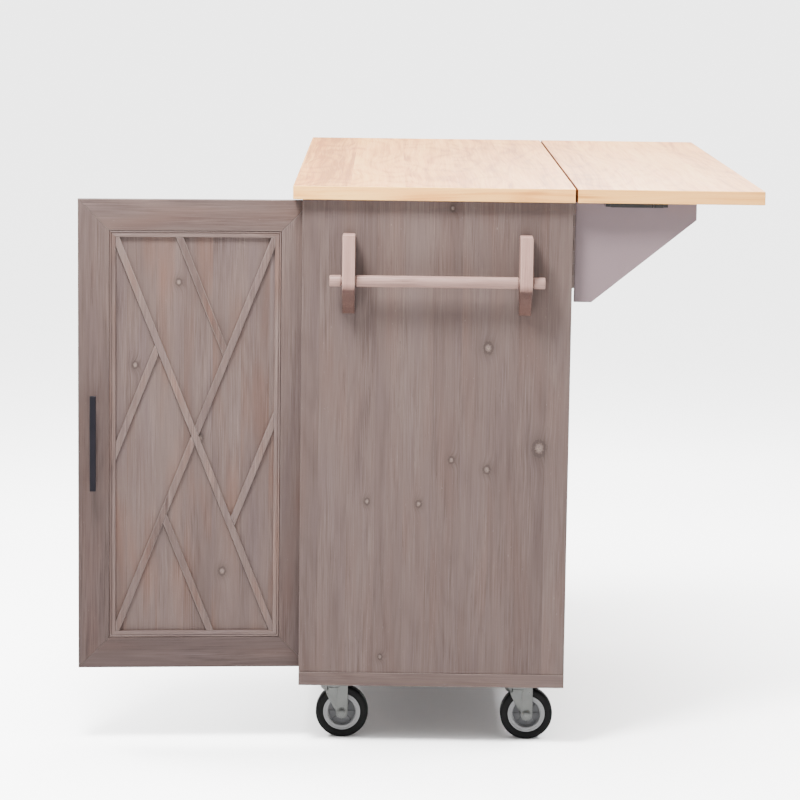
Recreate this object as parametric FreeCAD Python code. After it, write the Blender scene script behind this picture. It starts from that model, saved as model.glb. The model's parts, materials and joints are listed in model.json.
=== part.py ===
import FreeCAD, Part
import math
import os

from FreeCAD import Placement, Rotation, Vector

# Kitchen island cart: a cabinet on four swivel casters with two framed doors, three drawers,
# a towel rail on one end and a drop leaf that two swing-out supports hold level.
#
# The shapes are built in a working frame, in mm: X along the cart with 0 at mid length, Y from
# the cabinet's front plane (0) to the rear, Z up from the floor.  export_all moves them so that
# the origin is the bottom centre of the whole cart as it stands, with the right door open.

# ---- cabinet and tops
overall_height = 920.0
cabinet_length = 1215.0
cabinet_depth = 435.0
panel_thickness = 16.0
base_thickness = 22.0
base_proud = 1.5             # the base board stands this far past the end panels
top_thickness = 22.0
end_overhang = 15.0
front_overhang = 15.0
rear_overhang = 2.5
leaf_width = 300.5
seam_gap = 2.5               # between worktop and leaf
back_thickness = 9.0
stretcher_width = 60.0
stretcher_setback = 6.0      # front stretcher behind the closed doors

# ---- doors
door_thickness = 16.0
door_turn_clearance = 0.5    # the turning corner to the end panel
door_free_gap = 2.5          # free edge to partition
door_end_gap = 4.5           # above and below a door or the drawer stack
door_frame_width = 50.0
door_open_angle = 94.5       # how far the right door stands open
moulding_width = 10.5
moulding_recess = 1.0        # moulding and lattice sit this far behind the frame's face
door_panel_recess = 7.0
door_panel_thickness = 6.0
door_groove = 6.0            # how far the panel enters the frame
lattice_width = 11.0
lattice_top_start = 0.40     # where the short upper bar leaves the top, as a share of the width
lattice_side_start = 0.27    # where the short side bar leaves the long diagonal

# ---- door hinges
hinge_inset = 100.0          # hinge centre from the door's top or bottom
cup_radius = 17.5
cup_depth = 11.5
cup_setback = 22.5           # cup centre from the door's hinge edge
cup_flange_height = 62.0
cup_flange_thickness = 1.2
cup_flange_inner = 9.0       # flange from the cup's centre, away from the hinge edge
cup_flange_outer = 3.0       # and towards it
cup_floor = 1.5
cup_hollow_inner = 12.0      # hollow from the cup's centre, away from the hinge edge
cup_hollow_outer = 6.0       # and towards it
cup_hollow_half = 8.0
hinge_pin_half = 9.0
hinge_pin_radius = 1.5
hinge_eye_radius = 4.0
hinge_eye_height = 10.0
hinge_slot_clearance = 0.6
arm_thickness = 4.0
arm_reach = 74.0             # from the pin back along the end panel
arm_neck = 25.0              # where the plate starts, from the pin
arm_plate_thickness = 2.0
arm_plate_height = 32.0

# ---- pulls
pull_length = 155.0
pull_width = 10.0
pull_bar_thickness = 8.0
pull_projection = 25.0
pull_post_radius = 4.0
pull_post_spacing = 128.0
door_pull_setback = 24.0     # pull centre from the door's free edge
door_pull_height = 500.0     # pull centre above the floor

# ---- drawers
drawer_count = 3
drawer_gap = 3.0             # between drawer fronts
drawer_side_gap = 2.5        # front to partition
drawer_wall = 15.0
drawer_bottom = 6.0
drawer_bottom_lift = 8.0
drawer_box_depth = 350.0
drawer_box_height = 180.0
drawer_box_lift = 20.0       # box above the front's lower edge
drawer_box_gap = 3.0         # box side to partition
runner_height = 16.0
runner_thickness = 10.0
runner_length = 330.0
runner_clearance = 0.5
runner_setback = 4.0         # runner's front end behind the closed drawer front
groove_setback = 2.0

# ---- shelves
shelf_thickness = 16.0
shelf_front = 30.0
shelf_height = 480.0         # top face above the floor
shelf_side_clearance = 0.5
shelf_pin_radius = 2.5
shelf_pin_length = 16.0
shelf_pin_setback = 40.0

# ---- towel rail
bracket_width = 20.0
bracket_projection = 50.0
bracket_drop = 54.0          # bracket top below the worktop
bracket_back_height = 134.0
bracket_front_height = 86.0
bracket_spacing = 284.0
rail_length = 345.0
rail_radius = 9.25
rail_drop = 128.0            # rail centre below the worktop
rail_reach = 32.0            # rail centre out from the end panel
tenon_radius = 7.0
tenon_in_cap = 12.0
rail_bracket_gap = 2.0

# ---- leaf supports
support_reach = 195.0
support_height = 163.0
support_thickness = 16.0
support_tip_height = 28.0
support_foot = 28.0
support_leaf_gap = 0.5
support_axis_setout = 2.2    # hinge axis beyond the cabinet's rear plane
support_fold_clearance = 3.7
piano_hinge_length = 140.0
piano_hinge_knuckles = 7
stop_length = 100.0
stop_height = 5.0
stop_width = 10.0
stop_clearance = 0.5

# ---- flap hinges, for the leaf and for the supports
flap_thickness = 1.2
flap_width = 18.0
barrel_radius = 2.5
flap_pin_radius = 1.2
knuckle_gap = 0.3
running_clearance = 0.05
leaf_hinge_length = 60.0
leaf_hinge_knuckles = 3
leaf_hinge_clearance = 20.0  # beside the folding supports

# ---- casters
wheel_radius = 43.4
hub_radius = 31.0
hub_recess_radius = 22.6
hub_boss_radius = 9.0
hub_web_thickness = 10.0
hub_width = 24.0
tyre_width = 25.0
tyre_shoulder = 4.0
fork_gap = 32.0              # between the cheeks
fork_thickness = 2.5
fork_end_radius = 10.0
fork_boss_gap = 0.5          # hub boss to cheek
axle_radius = 4.0
axle_head_radius = 6.5
axle_head_thickness = 3.5
caster_trail = 14.0
wheel_clearance = 1.4        # wheel to fork crown
race_height = 6.2
race_radius = 22.0
race_gap = 0.3
kingpin_radius = 5.0
kingpin_head_radius = 8.0
kingpin_head_gap = 0.2
kingpin_head_thickness = 0.8
caster_plate_size = 62.0
caster_plate_thickness = 2.5
caster_end_setback = 60.0    # swivel axis from the cabinet's end
caster_front_setback = 57.0
caster_rear_setback = 72.0
caster_screw_spacing = 47.0
caster_screw_radius = 2.0
caster_screw_head_radius = 4.0
caster_screw_head_thickness = 2.2
caster_screw_bite = 14.0
screw_hole_clearance = 0.25

# ---- derived levels and planes
caster_height = (2 * wheel_radius + wheel_clearance + fork_thickness + race_height
                 + caster_plate_thickness)
base_top = caster_height + base_thickness
top_underside = overall_height - top_thickness
cabinet_half = cabinet_length / 2
inner_half = cabinet_half - panel_thickness
top_half = cabinet_half + end_overhang
worktop_rear = cabinet_depth + rear_overhang
leaf_front = worktop_rear + seam_gap
leaf_rear = leaf_front + leaf_width
bay_width = (2 * inner_half - 2 * panel_thickness) / 3
middle_half = bay_width / 2
bay_start = middle_half + panel_thickness       # inner side of an end bay

# leaf supports: a turn of 90 degrees about this axis takes one from standing out to folded
support_axis_x = inner_half - barrel_radius
support_axis_y = cabinet_depth + support_axis_setout
support_outer_x = support_axis_x - barrel_radius
support_edge_y = support_axis_y + barrel_radius
support_top = top_underside - support_leaf_gap
back_rear = support_axis_y - barrel_radius - support_thickness - support_fold_clearance
back_front = back_rear - back_thickness

# leaf hinges: the barrels hang under the seam
leaf_axis_y = worktop_rear + seam_gap / 2
leaf_axis_z = top_underside - barrel_radius
leaf_hinge_x = (support_axis_x - barrel_radius - support_reach - leaf_hinge_clearance
                - leaf_hinge_length / 2)

# right door, closed; its hinge axis is at mid thickness, as far from the hinge edge
door_hinge_gap = door_thickness / 2 * (math.sqrt(2) - 1) + door_turn_clearance
door_hinge_edge = inner_half - door_hinge_gap
door_free_edge = bay_start + door_free_gap
door_low = base_top + door_end_gap
door_high = top_underside - door_end_gap
door_axis_y = door_thickness / 2
door_axis_x = door_hinge_edge - door_thickness / 2
hinge_heights = (door_low + hinge_inset, door_high - hinge_inset)
slot_half = hinge_eye_radius + hinge_slot_clearance

# drawers
drawer_front_height = (door_high - door_low - (drawer_count - 1) * drawer_gap) / drawer_count
drawer_half = middle_half - drawer_side_gap
drawer_box_half = middle_half - drawer_box_gap

# towel rail
rail_x = cabinet_half + rail_reach
rail_y = cabinet_depth / 2
rail_z = top_underside - rail_drop

# casters
plate_underside = caster_height - caster_plate_thickness
crown_top = plate_underside - race_height
crown_underside = crown_top - fork_thickness


# ---- small helpers

def box(low, high):
    """A box between two corners."""
    size = [b - a for a, b in zip(low, high)]
    return Part.makeBox(size[0], size[1], size[2], Vector(*low))


def rod(radius, start, end):
    """A cylinder from one point to another."""
    run = Vector(*end) - Vector(*start)
    return Part.makeCylinder(radius, run.Length, Vector(*start), run)


def prism(points, along):
    """A flat outline carried along a straight vector."""
    corners = [Vector(*point) for point in points]
    outline = Part.makePolygon(corners + corners[:1])
    return Part.Face(outline).extrude(Vector(*along))


def join(shapes):
    """One solid from touching or overlapping ones."""
    return shapes[0].multiFuse(shapes[1:]).removeSplitter()


def group(shapes):
    """Separate solids kept together in one node."""
    return Part.makeCompound(shapes)


def mirrored(shape):
    """The same piece on the cart's other end."""
    return shape.mirror(Vector(0, 0, 0), Vector(1, 0, 0))


def turned(shape, axis_point, angle):
    """The shape turned about an upright axis."""
    copy = shape.copy()
    copy.rotate(Vector(*axis_point), Vector(0, 0, 1), angle)
    return copy


def mitred_ring(low, high, width, front, rear):
    """Left, right, bottom and top strips of a rectangular ring in the XZ plane."""
    (x0, z0), (x1, z1) = low, high
    inner_x0, inner_z0, inner_x1, inner_z1 = x0 + width, z0 + width, x1 - width, z1 - width
    outlines = (
        [(x0, z0), (inner_x0, inner_z0), (inner_x0, inner_z1), (x0, z1)],
        [(x1, z0), (inner_x1, inner_z0), (inner_x1, inner_z1), (x1, z1)],
        [(x0, z0), (inner_x0, inner_z0), (inner_x1, inner_z0), (x1, z0)],
        [(x0, z1), (inner_x0, inner_z1), (inner_x1, inner_z1), (x1, z1)],
    )
    return [prism([(x, front, z) for x, z in outline], (0, rear - front, 0))
            for outline in outlines]


def flap_half(length, knuckles, first, side, tangent, bore):
    """Half of a flap hinge, its barrel along Z from 0 and its flap towards side * Y.

    The flap lies against the plane x = tangent * barrel_radius.  Knuckles first, first + 2
    and so on are this half's, with a hole of radius bore for the pin.
    """
    pitch = length / knuckles
    relief = barrel_radius + knuckle_gap
    outer = tangent * barrel_radius
    inner = tangent * (barrel_radius - flap_thickness)
    x0, x1 = min(outer, inner), max(outer, inner)

    def span(near, far):
        return (near, far) if side > 0 else (-far, -near)

    y0, y1 = span(relief, flap_width)
    pieces = [box((x0, y0, 0), (x1, y1, length))]
    neck0, neck1 = span(0, relief)
    for index in range(first, knuckles, 2):
        z0 = index * pitch + knuckle_gap / 2
        z1 = (index + 1) * pitch - knuckle_gap / 2
        pieces.append(rod(barrel_radius, (0, 0, z0), (0, 0, z1)))
        pieces.append(box((x0, neck0, z0), (x1, neck1, z1)))
    return join(pieces).cut(rod(bore, (0, 0, -1), (0, 0, length + 1)))


# ---- cabinet

def stretchers():
    """Front one flat under the worktop, rear one upright against the back."""
    front_y = door_thickness + stretcher_setback
    front = box((-inner_half, front_y, top_underside - panel_thickness),
                (inner_half, front_y + stretcher_width, top_underside))
    rear = box((-inner_half, back_front - panel_thickness, top_underside - stretcher_width),
               (inner_half, back_front, top_underside))
    return [front, rear]


def shelf_pins():
    """Four pins for each end bay's shelf, for the right bay and then the left."""
    z = shelf_height - shelf_thickness - shelf_pin_radius
    half = shelf_pin_length / 2
    right = [rod(shelf_pin_radius, (wall - half, y, z), (wall + half, y, z))
             for wall in (bay_start, inner_half)
             for y in (shelf_front + shelf_pin_setback, back_front - shelf_pin_setback)]
    return right + [mirrored(pin) for pin in right]


def add_cabinet(parts):
    pins = group(shelf_pins())
    ties = stretchers()
    side = box((inner_half, 0, base_top), (cabinet_half, cabinet_depth, top_underside)).cut(pins)
    partition = box((middle_half, 0, base_top), (bay_start, back_front, top_underside))
    partition = partition.cut(group(ties)).cut(pins)
    shelf = box((bay_start + shelf_side_clearance, shelf_front, shelf_height - shelf_thickness),
                (inner_half - shelf_side_clearance, back_front, shelf_height))
    parts["worktop"] = box((-top_half, -front_overhang, top_underside),
                           (top_half, worktop_rear, overall_height))
    parts["side_panel_right"] = side
    parts["side_panel_left"] = mirrored(side)
    parts["base_board"] = box((-cabinet_half - base_proud, 0, caster_height),
                              (cabinet_half + base_proud, cabinet_depth, base_top))
    parts["partition_right"] = partition
    parts["partition_left"] = mirrored(partition)
    parts["back_panel"] = box((-inner_half, back_front, base_top),
                              (inner_half, back_rear, top_underside))
    parts["top_stretchers"] = group(ties)
    parts["shelf_right"] = shelf
    parts["shelf_left"] = mirrored(shelf)
    parts["shelf_pins"] = pins


def add_towel_rail(parts):
    x0, x1 = cabinet_half, cabinet_half + bracket_projection
    top = top_underside - bracket_drop
    profile = [(x0, top), (x1, top), (x1, top - bracket_front_height),
               (x0, top - bracket_back_height)]
    shoulder = bracket_spacing / 2 - bracket_width / 2 - rail_bracket_gap
    cap_start = bracket_spacing / 2 + bracket_width / 2 + rail_bracket_gap
    tenon_end = cap_start + tenon_in_cap
    tenon = rod(tenon_radius, (rail_x, rail_y - tenon_end, rail_z),
                (rail_x, rail_y + tenon_end, rail_z))
    for name, side in (("rail_bracket_front", -1), ("rail_bracket_rear", 1)):
        y0 = rail_y + side * bracket_spacing / 2 - bracket_width / 2
        bracket = prism([(x, y0, z) for x, z in profile], (0, bracket_width, 0))
        parts[name] = bracket.cut(tenon)
    middle = rod(rail_radius, (rail_x, rail_y - shoulder, rail_z),
                 (rail_x, rail_y + shoulder, rail_z))
    caps = [rod(rail_radius, (rail_x, rail_y + side * cap_start, rail_z),
                (rail_x, rail_y + side * rail_length / 2, rail_z)).cut(tenon)
            for side in (-1, 1)]
    parts["towel_rail"] = group([join([middle, tenon])] + caps)


# ---- leaf and its supports

def add_leaf(parts):
    parts["leaf"] = box((-top_half, leaf_front, top_underside),
                        (top_half, leaf_rear, overall_height))
    fixed = flap_half(leaf_hinge_length, leaf_hinge_knuckles, 0, -1, 1, flap_pin_radius)
    moving = flap_half(leaf_hinge_length, leaf_hinge_knuckles, 1, 1, 1,
                       flap_pin_radius + running_clearance)
    pin = rod(flap_pin_radius, (0, 0, 0), (0, 0, leaf_hinge_length))
    lay = Rotation(Vector(0, 1, 0), -90)
    fixed_solids, moving_solids = [], []
    for x in (-leaf_hinge_x, 0, leaf_hinge_x):
        place = Placement(Vector(x + leaf_hinge_length / 2, leaf_axis_y, leaf_axis_z), lay)
        for shape, solids in ((fixed, fixed_solids), (pin, fixed_solids),
                              (moving, moving_solids)):
            copy = shape.copy()
            copy.Placement = place
            solids.append(copy)
    parts["leaf_hinges_fixed"] = group(fixed_solids)
    parts["leaf_hinges_moving"] = group(moving_solids)
    stop_y = support_edge_y + support_reach / 2
    stop = box((support_outer_x + stop_clearance, stop_y - stop_length / 2,
                top_underside - stop_height),
               (support_outer_x + stop_clearance + stop_width, stop_y + stop_length / 2,
                top_underside))
    parts["leaf_stops"] = group([stop, mirrored(stop)])


def add_supports(parts):
    y0, y1 = support_edge_y, support_edge_y + support_reach
    low = support_top - support_height
    outline = [(y0, support_top), (y1, support_top), (y1, support_top - support_tip_height),
               (y0 + support_foot, low), (y0, low)]
    board = prism([(support_outer_x - support_thickness, y, z) for y, z in outline],
                  (support_thickness, 0, 0))
    place = Vector(support_axis_x, support_axis_y, support_top - piano_hinge_length)
    fixed = flap_half(piano_hinge_length, piano_hinge_knuckles, 0, -1, 1, flap_pin_radius)
    moving = flap_half(piano_hinge_length, piano_hinge_knuckles, 1, 1, 1,
                       flap_pin_radius + running_clearance)
    moving.rotate(Vector(0, 0, 0), Vector(0, 0, 1), 90)      # flap against the board's edge
    pin = rod(flap_pin_radius, (0, 0, 0), (0, 0, piano_hinge_length))
    for shape in (fixed, moving, pin):
        shape.translate(place)
    parts["support_hinges_fixed"] = group([fixed, pin, mirrored(fixed), mirrored(pin)])
    parts["support_right"] = board
    parts["support_left"] = mirrored(board)
    parts["support_hinge_right"] = moving
    parts["support_hinge_left"] = mirrored(moving)


# ---- doors

def lattice_bars(low, high, front, rear):
    """Two crossing diagonals and four short bars parallel to them, butted where they meet."""
    (x0, z0), (x1, z1) = low, high
    opening = box((x0, front, z0), (x1, rear, z1))

    def bar(start, end, run_on):
        # start and end are shares of the opening's width from the left and height from the top
        a = Vector(x0 + start[0] * (x1 - x0), 0, z1 - start[1] * (z1 - z0))
        b = Vector(x0 + end[0] * (x1 - x0), 0, z1 - end[1] * (z1 - z0))
        along = (b - a).normalize()
        across = Vector(along.z, 0, -along.x) * (lattice_width / 2)
        a = a - along * lattice_width * 2
        b = b + along * lattice_width * 2 * run_on
        corners = [(p.x, front, p.z) for p in (a + across, b + across, b - across, a - across)]
        return prism(corners, (0, rear - front, 0)).common(opening)

    s, t = lattice_top_start, lattice_side_start
    meet = (1 + s) / 2
    falling = bar((0, 0), (1, 1), 1)
    rising = bar((1, 0), (0, 1), 1).cut(falling)
    across_bars = (
        (bar((s, 0), (meet, meet - s), 0), rising),
        (bar((1 - s, 1), (1 - meet, 1 - meet + s), 0), rising),
        (bar((0, 2 * t), (t, t), 0), falling),
        (bar((1, 1 - 2 * t), (1 - t, 1 - t), 0), falling),
    )
    shorts = [short.cut(long_bar).Solids[0] for short, long_bar in across_bars]
    return [falling.Solids[0]] + rising.Solids + shorts


def pull_bar(centre, along, outward):
    """A straight bar on two round posts; centre lies on the face it is fixed to."""
    centre, along, outward = Vector(*centre), Vector(*along), Vector(*outward)
    half = along * (pull_length / 2) + outward.cross(along) * (pull_width / 2)
    near = pull_projection - pull_bar_thickness
    a = centre + outward * near - half
    b = centre + outward * pull_projection + half
    bar = box([min(p, q) for p, q in zip(a, b)], [max(p, q) for p, q in zip(a, b)])
    posts = [Part.makeCylinder(pull_post_radius, near + pull_bar_thickness / 2,
                               centre + along * (side * pull_post_spacing / 2), outward)
             for side in (-1, 1)]
    return join([bar] + posts)


def hinge_cup(z):
    """The cup let into the door, split for the arm's eye, and its pin."""
    x = door_hinge_edge - cup_setback
    rear = door_thickness
    cup = rod(cup_radius, (x, rear - cup_depth, z), (x, rear, z))
    flange = box((x - cup_flange_inner, rear, z - cup_flange_height / 2),
                 (x + cup_flange_outer, rear + cup_flange_thickness, z + cup_flange_height / 2))
    hollow = box((x - cup_hollow_inner, rear - cup_depth + cup_floor, z - cup_hollow_half),
                 (x + cup_hollow_outer, rear + 2 * cup_flange_thickness, z + cup_hollow_half))
    pin = rod(hinge_pin_radius, (door_axis_x, door_axis_y, z - hinge_pin_half),
              (door_axis_x, door_axis_y, z + hinge_pin_half))
    body = join([cup, flange]).cut(hollow).cut(hinge_slot(z)).cut(pin)
    return [body, pin]


def hinge_slot(z):
    """Room in cup and door for the fixed eye and arm at every angle of the door."""
    half = hinge_eye_height / 2 + knuckle_gap
    return box((door_axis_x - slot_half, door_axis_y - slot_half, z - half),
               (door_hinge_edge + cup_radius, door_thickness + cup_radius, z + half))


def hinge_arm(z):
    """The arm with its eye round the pin, and the plate that holds it to the end panel."""
    half = hinge_eye_height / 2
    eye = rod(hinge_eye_radius, (door_axis_x, door_axis_y, z - half),
              (door_axis_x, door_axis_y, z + half))
    neck = box((door_axis_x - arm_thickness / 2, door_axis_y, z - half),
               (door_axis_x + arm_thickness / 2, door_axis_y + arm_neck, z + half))
    body = box((door_axis_x - arm_thickness / 2, door_axis_y + arm_neck - arm_thickness, z - half),
               (inner_half - arm_plate_thickness, door_axis_y + arm_reach, z + half))
    bore = rod(hinge_pin_radius + running_clearance, (door_axis_x, door_axis_y, z - half - 1),
               (door_axis_x, door_axis_y, z + half + 1))
    plate = box((inner_half - arm_plate_thickness, door_axis_y + arm_neck,
                 z - arm_plate_height / 2),
                (inner_half, door_axis_y + arm_reach, z + arm_plate_height / 2))
    return [join([eye, neck, body]).cut(bore), plate]


def closed_door():
    """The right door's nodes, shut: frame, panel, moulding, lattice, pull and hinge cups."""
    low, high = (door_free_edge, door_low), (door_hinge_edge, door_high)
    frame = mitred_ring(low, high, door_frame_width, 0, door_thickness)
    inset = door_frame_width
    inner_low = (low[0] + inset, low[1] + inset)
    inner_high = (high[0] - inset, high[1] - inset)
    moulding = mitred_ring(inner_low, inner_high, moulding_width, moulding_recess,
                           door_panel_recess)
    panel = box((inner_low[0] - door_groove, door_panel_recess, inner_low[1] - door_groove),
                (inner_high[0] + door_groove, door_panel_recess + door_panel_thickness,
                 inner_high[1] + door_groove))
    lattice = lattice_bars(
        (inner_low[0] + moulding_width, inner_low[1] + moulding_width),
        (inner_high[0] - moulding_width, inner_high[1] - moulding_width),
        moulding_recess, door_panel_recess)
    cuts = [panel]
    cups = []
    for z in hinge_heights:
        x = door_hinge_edge - cup_setback
        cuts.append(rod(cup_radius, (x, door_thickness - cup_depth, z), (x, door_thickness, z)))
        cup, pin = hinge_cup(z)
        cuts += [hinge_slot(z), pin]
        cups += [cup, pin]
    room = cuts[0].multiFuse(cuts[1:])
    pull = pull_bar((door_free_edge + door_pull_setback, 0, door_pull_height),
                    (0, 0, 1), (0, -1, 0))
    return {"frame": group([member.cut(room) for member in frame]), "panel": panel,
            "moulding": group(moulding), "lattice": group(lattice), "pull": pull,
            "hinge_cups": group(cups)}


def add_doors(parts):
    axis = (door_axis_x, door_axis_y, 0)
    for name, shape in closed_door().items():
        parts["door_right_" + name] = turned(shape, axis, door_open_angle)
        parts["door_left_" + name] = mirrored(shape)
    arms = [solid for z in hinge_heights for solid in hinge_arm(z)]
    parts["door_hinge_arms"] = group(arms + [mirrored(arm) for arm in arms])


# ---- drawers

def drawer_level(index):
    """Lower edge of a drawer's front, counted from the top drawer."""
    step = drawer_front_height + drawer_gap
    return door_high - drawer_front_height - index * step


def runner_level(index):
    return drawer_level(index) + drawer_box_lift + drawer_box_height / 2


def drawer_box(index):
    """Two sides with runner grooves, a sub-front and a back between them, and a bottom."""
    z0 = drawer_level(index) + drawer_box_lift
    z1 = z0 + drawer_box_height
    y0, y1 = door_thickness, door_thickness + drawer_box_depth
    inner = drawer_box_half - drawer_wall
    side = box((inner, y0, z0), (drawer_box_half, y1, z1))
    groove_depth = runner_thickness - drawer_box_gap + runner_clearance
    groove_half = runner_height / 2 + runner_clearance
    level = runner_level(index)
    groove = box((drawer_box_half - groove_depth, y0 + groove_setback, level - groove_half),
                 (drawer_box_half + 1, y1 + 1, level + groove_half))
    side = side.cut(groove)
    front = box((-inner, y0, z0), (inner, y0 + drawer_wall, z1))
    back = box((-inner, y1 - drawer_wall, z0), (inner, y1, z1))
    floor_z = z0 + drawer_bottom_lift
    floor = box((-inner, y0 + drawer_wall, floor_z),
                (inner, y1 - drawer_wall, floor_z + drawer_bottom))
    return [side, mirrored(side), front, back, floor]


def add_drawers(parts):
    runners = []
    for index, name in enumerate(("top", "middle", "bottom")):
        low = drawer_level(index)
        parts["drawer_%s_front" % name] = box((-drawer_half, 0, low),
                                              (drawer_half, door_thickness,
                                               low + drawer_front_height))
        parts["drawer_%s_box" % name] = group(drawer_box(index))
        parts["drawer_%s_pull" % name] = pull_bar((0, 0, low + drawer_front_height / 2),
                                                  (1, 0, 0), (0, -1, 0))
        level = runner_level(index)
        start = door_thickness + runner_setback
        runner = box((middle_half - runner_thickness, start, level - runner_height / 2),
                     (middle_half, start + runner_length, level + runner_height / 2))
        runners += [runner, mirrored(runner)]
    parts["drawer_runners"] = group(runners)


# ---- casters

def caster_places():
    """Name and swivel axis of each caster."""
    x = cabinet_half - caster_end_setback
    rows = (("front", caster_front_setback), ("rear", cabinet_depth - caster_rear_setback))
    return [("caster_%s_%s" % (row, end), side * x, y)
            for row, y in rows for end, side in (("right", 1), ("left", -1))]


def caster_plate(x, y):
    """Top plate with the upper half of the ball race and the kingpin."""
    half = caster_plate_size / 2
    plate = box((x - half, y - half, plate_underside), (x + half, y + half, caster_height))
    race_split = crown_top + race_height / 2
    race = rod(race_radius, (x, y, race_split + race_gap / 2), (x, y, plate_underside))
    head_top = crown_underside - kingpin_head_gap
    head = rod(kingpin_head_radius, (x, y, head_top - kingpin_head_thickness), (x, y, head_top))
    pin = rod(kingpin_radius, (x, y, head_top - kingpin_head_thickness),
              (x, y, plate_underside))
    holes = group([rod(caster_screw_radius + screw_hole_clearance, (sx, sy, plate_underside - 1),
                       (sx, sy, caster_height + 1)) for sx, sy in screw_places(x, y)])
    return join([plate, race, head, pin]).cut(holes)


def screw_places(x, y):
    half = caster_screw_spacing / 2
    return [(x + dx * half, y + dy * half) for dx in (-1, 1) for dy in (-1, 1)]


def caster_screw(x, y):
    """Pan head under the plate and a shank up into the base board."""
    head = rod(caster_screw_head_radius,
               (x, y, plate_underside - caster_screw_head_thickness), (x, y, plate_underside))
    shank = rod(caster_screw_radius, (x, y, plate_underside),
                (x, y, caster_height + caster_screw_bite))
    return join([head, shank])


def caster_fork(x, y):
    """Crown, lower half of the race and two cheeks; the axle bolt is a second solid."""
    axle_y = y + caster_trail
    crown_half = caster_trail + fork_end_radius
    outer = fork_gap / 2 + fork_thickness
    crown = box((x - outer, y - crown_half, crown_underside), (x + outer, y + crown_half, crown_top))
    race = rod(race_radius, (x, y, crown_top),
               (x, y, crown_top + race_height / 2 - race_gap / 2))
    # the front edge runs straight from the crown to a tangent on the rounded end
    corner = (y - crown_half, crown_underside)
    run = (corner[0] - axle_y, corner[1] - wheel_radius)
    angle = math.atan2(run[1], run[0]) + math.acos(fork_end_radius / math.hypot(*run))
    tangent = (axle_y + fork_end_radius * math.cos(angle),
               wheel_radius + fork_end_radius * math.sin(angle))
    outline = [(y - crown_half, crown_top), (y + crown_half, crown_top),
               (y + crown_half, wheel_radius), (axle_y, wheel_radius), tangent, corner]
    cheeks = []
    for side in (-1, 1):
        x0 = x + side * fork_gap / 2
        x1 = x + side * outer
        cheeks.append(prism([(x0, a, b) for a, b in outline], (x1 - x0, 0, 0)))
        cheeks.append(rod(fork_end_radius, (x0, axle_y, wheel_radius), (x1, axle_y, wheel_radius)))
    axle = [rod(axle_radius, (x - outer, axle_y, wheel_radius), (x + outer, axle_y, wheel_radius))]
    for side in (-1, 1):
        axle.append(rod(axle_head_radius, (x + side * outer, axle_y, wheel_radius),
                        (x + side * (outer + axle_head_thickness), axle_y, wheel_radius)))
    axle = join(axle)
    kingpin_hole = rod(kingpin_radius + running_clearance, (x, y, crown_underside - 1),
                       (x, y, crown_top + race_height))
    fork = join([crown, race] + cheeks).cut(kingpin_hole).cut(axle)
    return [fork, axle]


def caster_hub(x, y):
    """Rim, thin web and boss with the running bore."""
    def disc(radius, width):
        return rod(radius, (x - width / 2, y, wheel_radius), (x + width / 2, y, wheel_radius))

    rim = disc(hub_radius, hub_width).cut(disc(hub_recess_radius, hub_width))
    web = disc(hub_recess_radius, hub_web_thickness)
    boss = disc(hub_boss_radius, fork_gap - 2 * fork_boss_gap)
    return join([rim, web, boss]).cut(disc(axle_radius + running_clearance, fork_gap))


def caster_tyre(x, y):
    """A ring with rounded shoulders that fits the hub."""
    half = tyre_width / 2
    tyre = rod(wheel_radius, (x - half, y, wheel_radius), (x + half, y, wheel_radius))
    rims = [edge for edge in tyre.Edges
            if isinstance(edge.Curve, Part.Circle)]
    tyre = tyre.makeFillet(tyre_shoulder, rims)
    return tyre.cut(rod(hub_radius, (x - half - 1, y, wheel_radius),
                        (x + half + 1, y, wheel_radius)))


def add_casters(parts):
    plates, screws = [], []
    for name, x, y in caster_places():
        plates.append(caster_plate(x, y))
        screws += [caster_screw(sx, sy) for sx, sy in screw_places(x, y)]
        parts[name + "_fork"] = group(caster_fork(x, y))
        parts[name + "_hub"] = caster_hub(x, y + caster_trail)
        parts[name + "_tyre"] = caster_tyre(x, y + caster_trail)
    parts["caster_plates"] = group(plates)
    parts["caster_screws"] = group(screws)
    parts["base_board"] = parts["base_board"].cut(parts["caster_screws"])


# ---- whole cart

def build():
    """Every node's shape in the working frame."""
    parts = {}
    add_cabinet(parts)
    add_towel_rail(parts)
    add_leaf(parts)
    add_supports(parts)
    add_doors(parts)
    add_drawers(parts)
    add_casters(parts)
    return parts


def footprint_centre(parts):
    """The point on the floor under the middle of the cart's box."""
    boxes = [shape.BoundBox for shape in parts.values()]
    x = (min(b.XMin for b in boxes) + max(b.XMax for b in boxes)) / 2
    y = (min(b.YMin for b in boxes) + max(b.YMax for b in boxes)) / 2
    return Vector(x, y, 0)


def export_all():
    os.makedirs("parts", exist_ok=True)
    parts = build()
    shift = footprint_centre(parts) * -1
    for name, shape in parts.items():
        shape.translate(shift)
        shape.exportStep("parts/%s.step" % name)
    print(len(parts), "nodes written, origin moved by", shift)


if __name__ == "__main__":
    export_all()
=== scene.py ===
import json
import math

import bmesh
import bpy
import numpy as np
from mathutils import Matrix, Vector


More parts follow.
